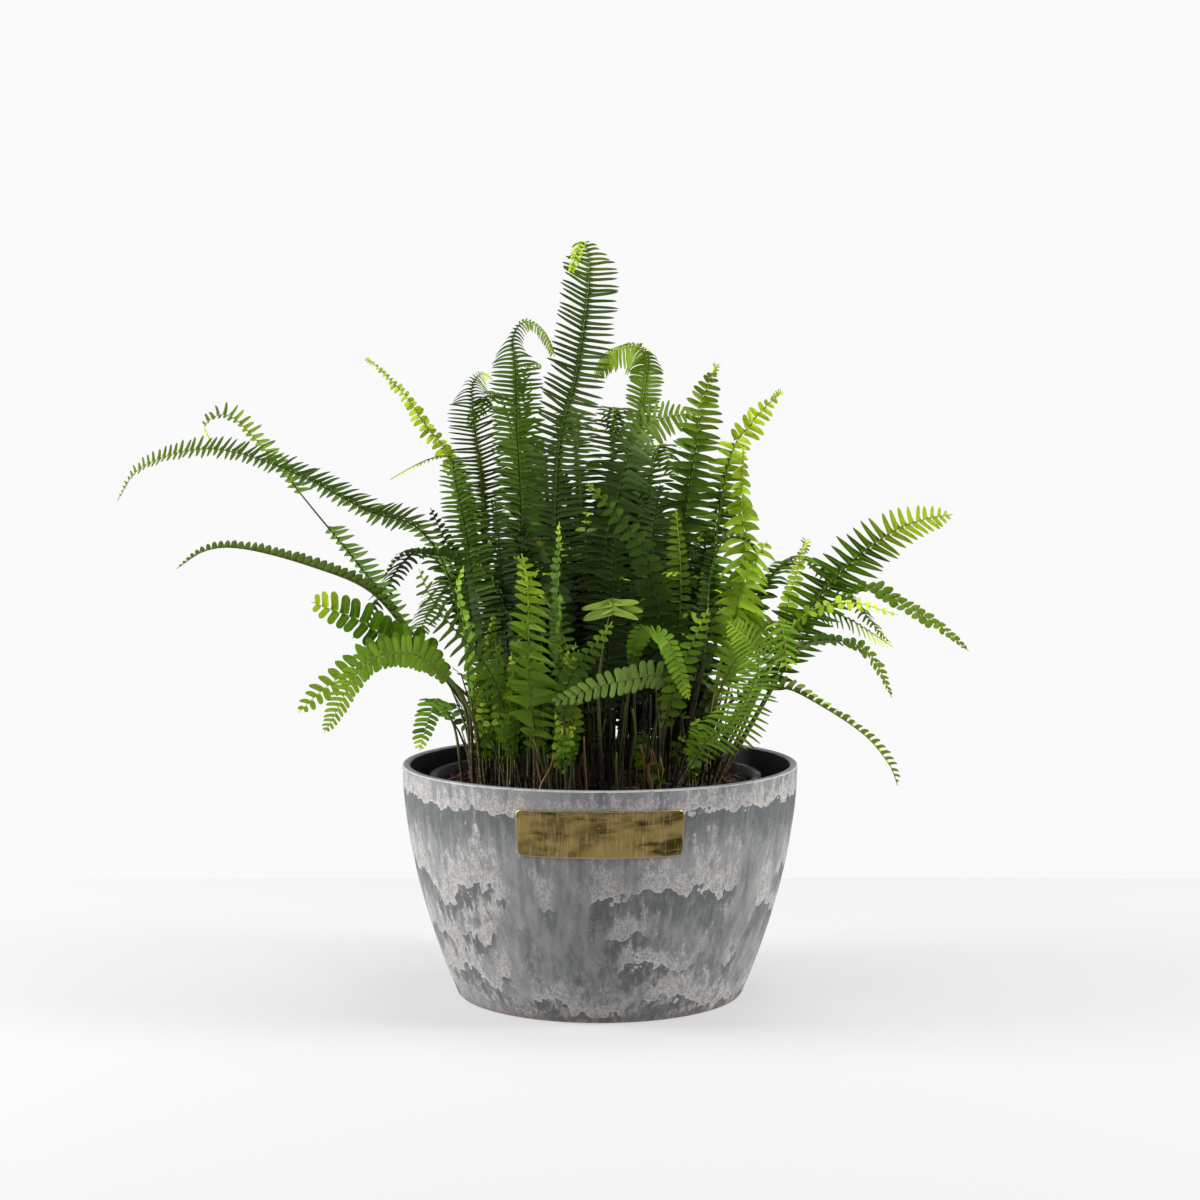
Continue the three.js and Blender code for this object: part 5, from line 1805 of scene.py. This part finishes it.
    def build(self, slot: str, materials: list[Material]) -> None:
        """Builds and dresses the frond as a piece that stands for its plain CAD blade.

        Args:
            slot: The record's material slot.
            materials: The finishes of the leaflets and of the stem.
        """
        bm = plant_mesh()
        self.grow(bm)
        close_tubes(bm, (1,))
        hand_over(new_piece(f"leafy_{self.plan.name}", bm, materials), slot, f"frond_{self.plan.name}")


def plant_mesh() -> BMesh:
    """Returns an empty mesh with the UV map and the attribute that leaves and stems are coloured by."""
    bm = bmesh.new()
    bm.loops.layers.uv.new("leaf")
    bm.verts.layers.float_color.new("growth")
    return bm


def close_tubes(bm: BMesh, stems: tuple[int, ...]) -> None:
    """Welds the seams and ends of all tubes, and turns every face outwards.

    Args:
        bm: The finished mesh, after which no leaflet is stamped.
        stems: The material slots that the tubes have.
    """
    tubes = [vert for vert in bm.verts if vert.link_faces and vert.link_faces[0].material_index in stems]
    bmesh.ops.remove_doubles(bm, verts=tubes, dist=1e-6)
    bmesh.ops.recalc_face_normals(bm, faces=bm.faces)


@dataclass
class Undergrowth:
    """What fills the crown's middle: old stems, dried stalks, young fronds, sprouts and tall dark fronds.

    spread is how far from the axis they stand, clump where some of the dried stalks crowd, and
    ground the soil's height, all in millimetres.
    """

    soil: SoilBed
    mould: LeafletMould
    spread: float = 108
    ground: float = 166
    old_stems: int = 240
    dried_stalks: int = 22
    clump: Pair = (42, -86)
    clump_stalks: int = 7
    young_fronds: int = 130
    sprouts: int = 56
    inner_fronds: int = 24
    seed: int = 57

    def __post_init__(self) -> None:
        """Seeds the draws."""
        self.draw = random.Random(self.seed)

    def _foot(self, spread: float) -> tuple[float, float, float]:
        """Draws a place on the soil.

        Args:
            spread: How far out it may be, in millimetres.

        Returns:
            Its place in millimetres and its share of the spread.
        """
        share = math.sqrt(self.draw.random())
        bearing = self.draw.uniform(0, 2 * math.pi)
        shift = self.soil.pot.shift / MM
        return shift + spread * share * math.cos(bearing), spread * share * math.sin(bearing), share

    def _stalk(self, bm: BMesh, foot: Pair, height: float, lean: Vector, radius: float,
               material_index: int) -> None:
        """Adds one thin crooked stem.

        Args:
            bm: The mesh.
            foot: Where it leaves the soil, in millimetres.
            height: Its height in millimetres.
            lean: How far its top is from above its foot, in millimetres.
            radius: Its radius at the foot, in millimetres.
            material_index: Its material slot.
        """
        draw = self.draw
        start = Vector((foot[0] * MM, foot[1] * MM, 0.0))
        start.z = self.soil.height(start.x, start.y)
        points = [start]
        for step in (0.3, 0.65, 1.0):
            sway = Vector((draw.uniform(-1, 1), draw.uniform(-1, 1), 0.0)) * (3.5 * step)
            points.append(start + (lean * step ** 1.4 + sway + Vector((0, 0, height * step))) * MM)
        right, top = Vector((1, 0, 0)), Vector((0, 1, 0))
        route = Route(points, right, right)
        buried = start - Vector((0, 0, 5 * MM))
        rings = [Ring(buried, right, top, 0.0, 0.0), Ring(buried, right, top, radius * MM, 0.0)]
        steps = 7
        for index in range(steps + 1):
            share = index / steps
            place, _, right, top = route.frame(share)
            rings.append(Ring(place, right, top, radius * MM * mix(1.0, 0.55, share), share))
        rings.append(Ring(place, right, top, 0.0, 1.0))
        add_tube(bm, rings, 4, material_index)

    def _stems(self, slot: str) -> None:
        """Builds the old stems and the dried stalks."""
        draw = self.draw
        black, brown, olive, dried = range(4)
        bm = plant_mesh()
        for _ in range(self.old_stems):
            x, y, share = self._foot(self.spread * 0.9)
            lean = Vector((x, y, 0.0)) * draw.uniform(0.0, 0.3)
            height = draw.uniform(40, 120) * mix(1.2, 0.6, share)
            radius = draw.uniform(0.6, 1.25)
            self._stalk(bm, (x, y), height, lean, radius, draw.choice((black, brown, brown, olive, olive)))
        for _ in range(self.dried_stalks):
            x, y, share = self._foot(self.spread - 4)
            lean = Vector((draw.uniform(-14, 14), draw.uniform(-10, 10), 0.0))
            self._stalk(bm, (x, y), draw.uniform(16, 46), lean, draw.uniform(0.9, 1.6), dried)
        middle_x, middle_y = self.clump
        for _ in range(self.clump_stalks):
            x, y = middle_x + draw.uniform(-8, 8), middle_y + draw.uniform(-5, 5)
            lean = Vector((0.5 * (x - middle_x), draw.uniform(-4, 4), 0.0))
            self._stalk(bm, (x, y), draw.uniform(20, 42), lean, draw.uniform(1.0, 1.7), dried)
        close_tubes(bm, (black, brown, olive, dried))
        finishes = [
            # The black old stems are partly their own dark colour and partly painted shade for the crown's
            # dark middle.
            StemFinish("old_stem_black", (0.012, 0.008, 0.005), (0.014, 0.012, 0.006), (0.02, 0.02, 0.01),
                       (0.1, 0.08, 0.05), 0.3),
            StemFinish("old_stem_brown", (0.035, 0.018, 0.009), (0.04, 0.03, 0.012), (0.04, 0.03, 0.012),
                       (0.16, 0.13, 0.08), 0.35),
            StemFinish("old_stem_olive", (0.1, 0.085, 0.03), (0.1, 0.13, 0.025), (0.1, 0.14, 0.03),
                       (0.42, 0.38, 0.28), 0.5),
            StemFinish("dried_stalk", (0.2, 0.085, 0.03), (0.26, 0.14, 0.055), (0.26, 0.14, 0.055),
                       (0.5, 0.42, 0.3), 0.4),
        ]
        hand_over(new_piece("old_stems", bm, [finish.build() for finish in finishes]), slot)

    def _young_plan(self, index: int) -> FrondPlan:
        """Draws a young frond's plan: the nearer the middle, the taller."""
        draw = self.draw
        x, y, share = self._foot(self.spread * 0.9)
        y = 0.72 * y + 16.0
        tall = share < 0.75 and draw.random() < 0.7
        height = (draw.uniform(120, 215) if tall else draw.uniform(45, 110)) * mix(1.1, 0.75, share)
        bearing = math.atan2(y, x) + draw.uniform(-1.1, 1.1)
        out = min(draw.uniform(0.1, 0.4) * height * (0.4 + share), 1.3 * self.spread - share * self.spread)
        across, back = math.cos(bearing), math.sin(bearing)

        def along(reach: float, rise: float) -> Triple:
            """Returns the point that far out and up."""
            return x + out * reach * across, y + out * reach * back, self.ground + height * rise

        through = (along(0.2, 0.5), along(0.55, 0.86), along(1.0, draw.uniform(0.85, 1.05)))
        side = (-back + draw.uniform(-0.5, 0.5), across + draw.uniform(-0.5, 0.5), 0.0)
        form = draw.choice((Form.OVATE, Form.LANCE, Form.SLENDER))
        reach = draw.uniform(15, 25) if tall else draw.uniform(6, 13)
        pitch = draw.uniform(5.5, 8.0) if tall else draw.uniform(4.5, 6.5)
        return FrondPlan(
            f"young_{index}", (x, y), through, side, reach, bare=draw.uniform(0.34, 0.55), pitch=pitch,
            width=pitch * 0.95, form=form, hang=draw.uniform(0.1, 0.5), cup=draw.uniform(-0.2, 0.4),
            young=draw.uniform(0.0, 0.35), unruly=0.15,
        )

    def _inner_plan(self, index: int) -> FrondPlan:
        """Draws the plan of one of the tall dark fronds that stand behind the others."""
        draw = self.draw
        x, y = draw.uniform(-62, 70), draw.uniform(2, 74)
        height = draw.uniform(170, 262) - 0.9 * abs(x - 6)
        lean = 0.16 * x + draw.uniform(-12, 12)
        rises = (0.35, 0.7, 1.0)
        through = tuple((x + lean * rise, y + 14 * rise, self.ground + height * rise) for rise in rises)
        side = (1.0, draw.uniform(-0.5, 0.5), 0.0)
        return FrondPlan(
            f"inner_{index}", (x, y), through, side, draw.uniform(22, 30), bare=draw.uniform(0.1, 0.2),
            pitch=6.2, width=8.4, form=Form.LANCE, hang=draw.uniform(0.1, 0.3), young=0.0, closing=2.6,
            unruly=0.16,
        )

    def _sprout_plan(self, index: int) -> FrondPlan:
        """Draws the plan of one of the small sprouts at the front, most of them on the left."""
        draw = self.draw
        left = draw.random() < 0.84
        bearing = math.radians(draw.uniform(192, 258) if left else draw.uniform(290, 345))
        radius = draw.uniform(0.6, 0.95) * self.spread
        x, y = radius * math.cos(bearing), radius * math.sin(bearing)
        height = draw.uniform(40, 135) if left else draw.uniform(24, 56)
        sway = [Vector((draw.uniform(-5, 5), draw.uniform(-7, 3), 0.0)) * way for way in (0.4, 0.8, 1.4)]
        rises = [self.ground + height * rise for rise in (0.45, 0.8, 1.0)]
        through = tuple((x + way.x, y + way.y, rise) for way, rise in zip(sway, rises))
        side = (1.0, draw.uniform(-0.5, 0.5), 0.0)
        pitch = draw.uniform(4.2, 6.0)
        return FrondPlan(
            f"sprout_{index}", (x, y), through, side, draw.uniform(5.0, 11.0), bare=draw.uniform(0.25, 0.5),
            pitch=pitch, width=pitch, form=Form.OVATE, hang=0.2, young=draw.uniform(0.1, 0.5), unruly=0.2,
        )

    def _young_growth(self, slot: str, finishes: dict[Look, list[Material]]) -> None:
        """Builds the young fronds, most of them dark, partly as painted shade, and the sprouts, which are
        light or lime.
        """
        looks = [Look.DARK, Look.GREEN, Look.LIGHT, Look.LIME]
        bm = plant_mesh()
        for index in range(self.young_fronds):
            plan = self._young_plan(index)
            # Most young fronds take the dark finish, which is partly painted shade for the crown's dark
            # middle.
            look = self.draw.choice((0, 0, 0, 1, 2))
            Frond(plan, self.soil, self.mould, 0.9 * MM, 0.5 * MM, 4, first_material=2 * look).grow(bm)
        for index in range(self.sprouts):
            plan = self._sprout_plan(index)
            look = 2 + index % 2
            Frond(plan, self.soil, self.mould, 0.8 * MM, 0.45 * MM, 4, first_material=2 * look).grow(bm)
        close_tubes(bm, tuple(2 * look + 1 for look in range(len(looks))))
        materials = [finish for look in looks for finish in finishes[look]]
        hand_over(new_piece("young_growth", bm, materials), slot)

    def _inner_growth(self, slot: str, materials: list[Material]) -> None:
        """Builds the tall dark fronds, whose dark finish is partly painted shade."""
        bm = plant_mesh()
        for index in range(self.inner_fronds):
            Frond(self._inner_plan(index), self.soil, self.mould, 1.1 * MM, 0.6 * MM, 4).grow(bm)
        close_tubes(bm, (1,))
        hand_over(new_piece("inner_growth", bm, materials), slot)

    def build(self, slot: str, finishes: dict[Look, list[Material]]) -> None:
        """Builds it all.

        Args:
            slot: The record's material slot for green fronds.
            finishes: The finishes of leaflets and stems, by look.
        """
        self._stems(slot)
        self._young_growth(slot, finishes)
        # The tall inner fronds take the dark finish, partly as painted shade behind the others.
        self._inner_growth(slot, finishes[Look.DARK])


@dataclass
class Crown:
    """All the fronds, and the small growth between their stems."""

    soil: SoilBed
    slots: dict[str, str]

    def build(self) -> None:
        """Builds every frond and the undergrowth."""
        mould = LeafletMould(9)
        finishes = {look: [LEAF_FINISHES[look].build(), STEM_FINISHES[look].build()] for look in Look}
        for plan in crown_plans():
            slot = self.slots[f"frond_{plan.name}"]
            Frond(plan, self.soil, mould).build(slot, finishes[plan.look])
        Undergrowth(self.soil, LeafletMould(5)).build(self.slots["frond_tallest"], finishes)


@dataclass(frozen=True)
class Lamp:
    """A square light that faces the plant: its place, its side and its power in watts."""

    name: str
    place: Triple
    side: float
    power: float


@dataclass
class Studio:
    """The floor, the soft lights and the camera."""

    lamps: tuple[Lamp, ...] = (
        Lamp("light_right", (1.9, -0.3, 1.1), 0.7, 46.0),
        Lamp("light_left", (-1.8, -0.1, 0.95), 0.9, 56.0),
        Lamp("light_top", (0.3, 0.3, 2.4), 1.0, 34.0),
    )
    lit: Triple = (0.0, 0.0, 0.25)
    camera_distance: float = 1.9
    camera_height: float = 0.448
    camera_pitch: float = 0.0755
    lens: float = 74.2
    floor_back: float = 0.462
    floor_reach: float = 5.0
    backdrop: float = 0.955
    fill: float = 0.18

    def build(self) -> None:
        """Builds the studio."""
        self._floor()
        self._world()
        for lamp in self.lamps:
            self._light(lamp)
        self._camera()
        scene = bpy.context.scene
        scene.view_settings.view_transform = "Standard"
        scene.view_settings.look = "None"

    def _floor(self) -> None:
        """Lays the floor."""
        bm = bmesh.new()
        bmesh.ops.create_grid(bm, x_segments=1, y_segments=1, size=1.0)
        for vert in bm.verts:
            vert.co.x *= self.floor_reach
            vert.co.y = self.floor_back if vert.co.y > 0 else -self.floor_reach
        new_piece("floor", bm, [FloorFinish().build()])

    def _world(self) -> None:
        """Fills the surroundings: a white backdrop to look at, and a dimmer even light."""
        scene = bpy.context.scene
        scene.world = scene.world or bpy.data.worlds.new("studio")
        s = Shader("studio", scene.world)
        greys = [{"Color": (grey, grey, grey)} for grey in (self.fill, self.backdrop)]
        cast, seen = (s.node("ShaderNodeBackground", None, inputs).outputs[0] for inputs in greys)
        is_seen = s.node("ShaderNodeLightPath").outputs["Is Camera Ray"]
        both = s.node("ShaderNodeMixShader", None, {0: is_seen, 1: cast, 2: seen}).outputs[0]
        s.node("ShaderNodeOutputWorld", None, {"Surface": both})

    def _light(self, lamp: Lamp) -> None:
        """Adds one light."""
        data = bpy.data.lights.new(lamp.name, "AREA")
        data.size = lamp.side
        data.energy = lamp.power
        light = bpy.data.objects.new(lamp.name, data)
        light.location = lamp.place
        aim = Vector(self.lit) - Vector(lamp.place)
        light.rotation_euler = aim.to_track_quat("-Z", "Y").to_euler()
        bpy.context.scene.collection.objects.link(light)

    def _camera(self) -> None:
        """Sets the camera to the photograph's view."""
        data = bpy.data.cameras.new("camera")
        data.lens = self.lens
        camera = bpy.data.objects.new("camera", data)
        camera.location = (0.0, -self.camera_distance, self.camera_height)
        camera.rotation_euler = (math.pi / 2 - self.camera_pitch, 0.0, 0.0)
        bpy.context.scene.collection.objects.link(camera)
        bpy.context.scene.camera = camera


def main() -> None:
    """Builds the plant round the frame."""
    logging.basicConfig(level=logging.INFO, format="%(message)s")
    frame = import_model()
    slots = {part["node"]: part["material_slot"] for part in frame["record"]["subparts"]}
    Studio().build()
    planter = Planter()
    planter.build(slots["planter"])
    NamePlate(planter).build(slots["name_plate"])
    pot = GrowPot()
    pot.build(slots["grow_pot"])
    soil = SoilBed(pot)
    soil.build(slots["soil"])
    Crown(soil, slots).build()


if __name__ == "__main__":
    main()
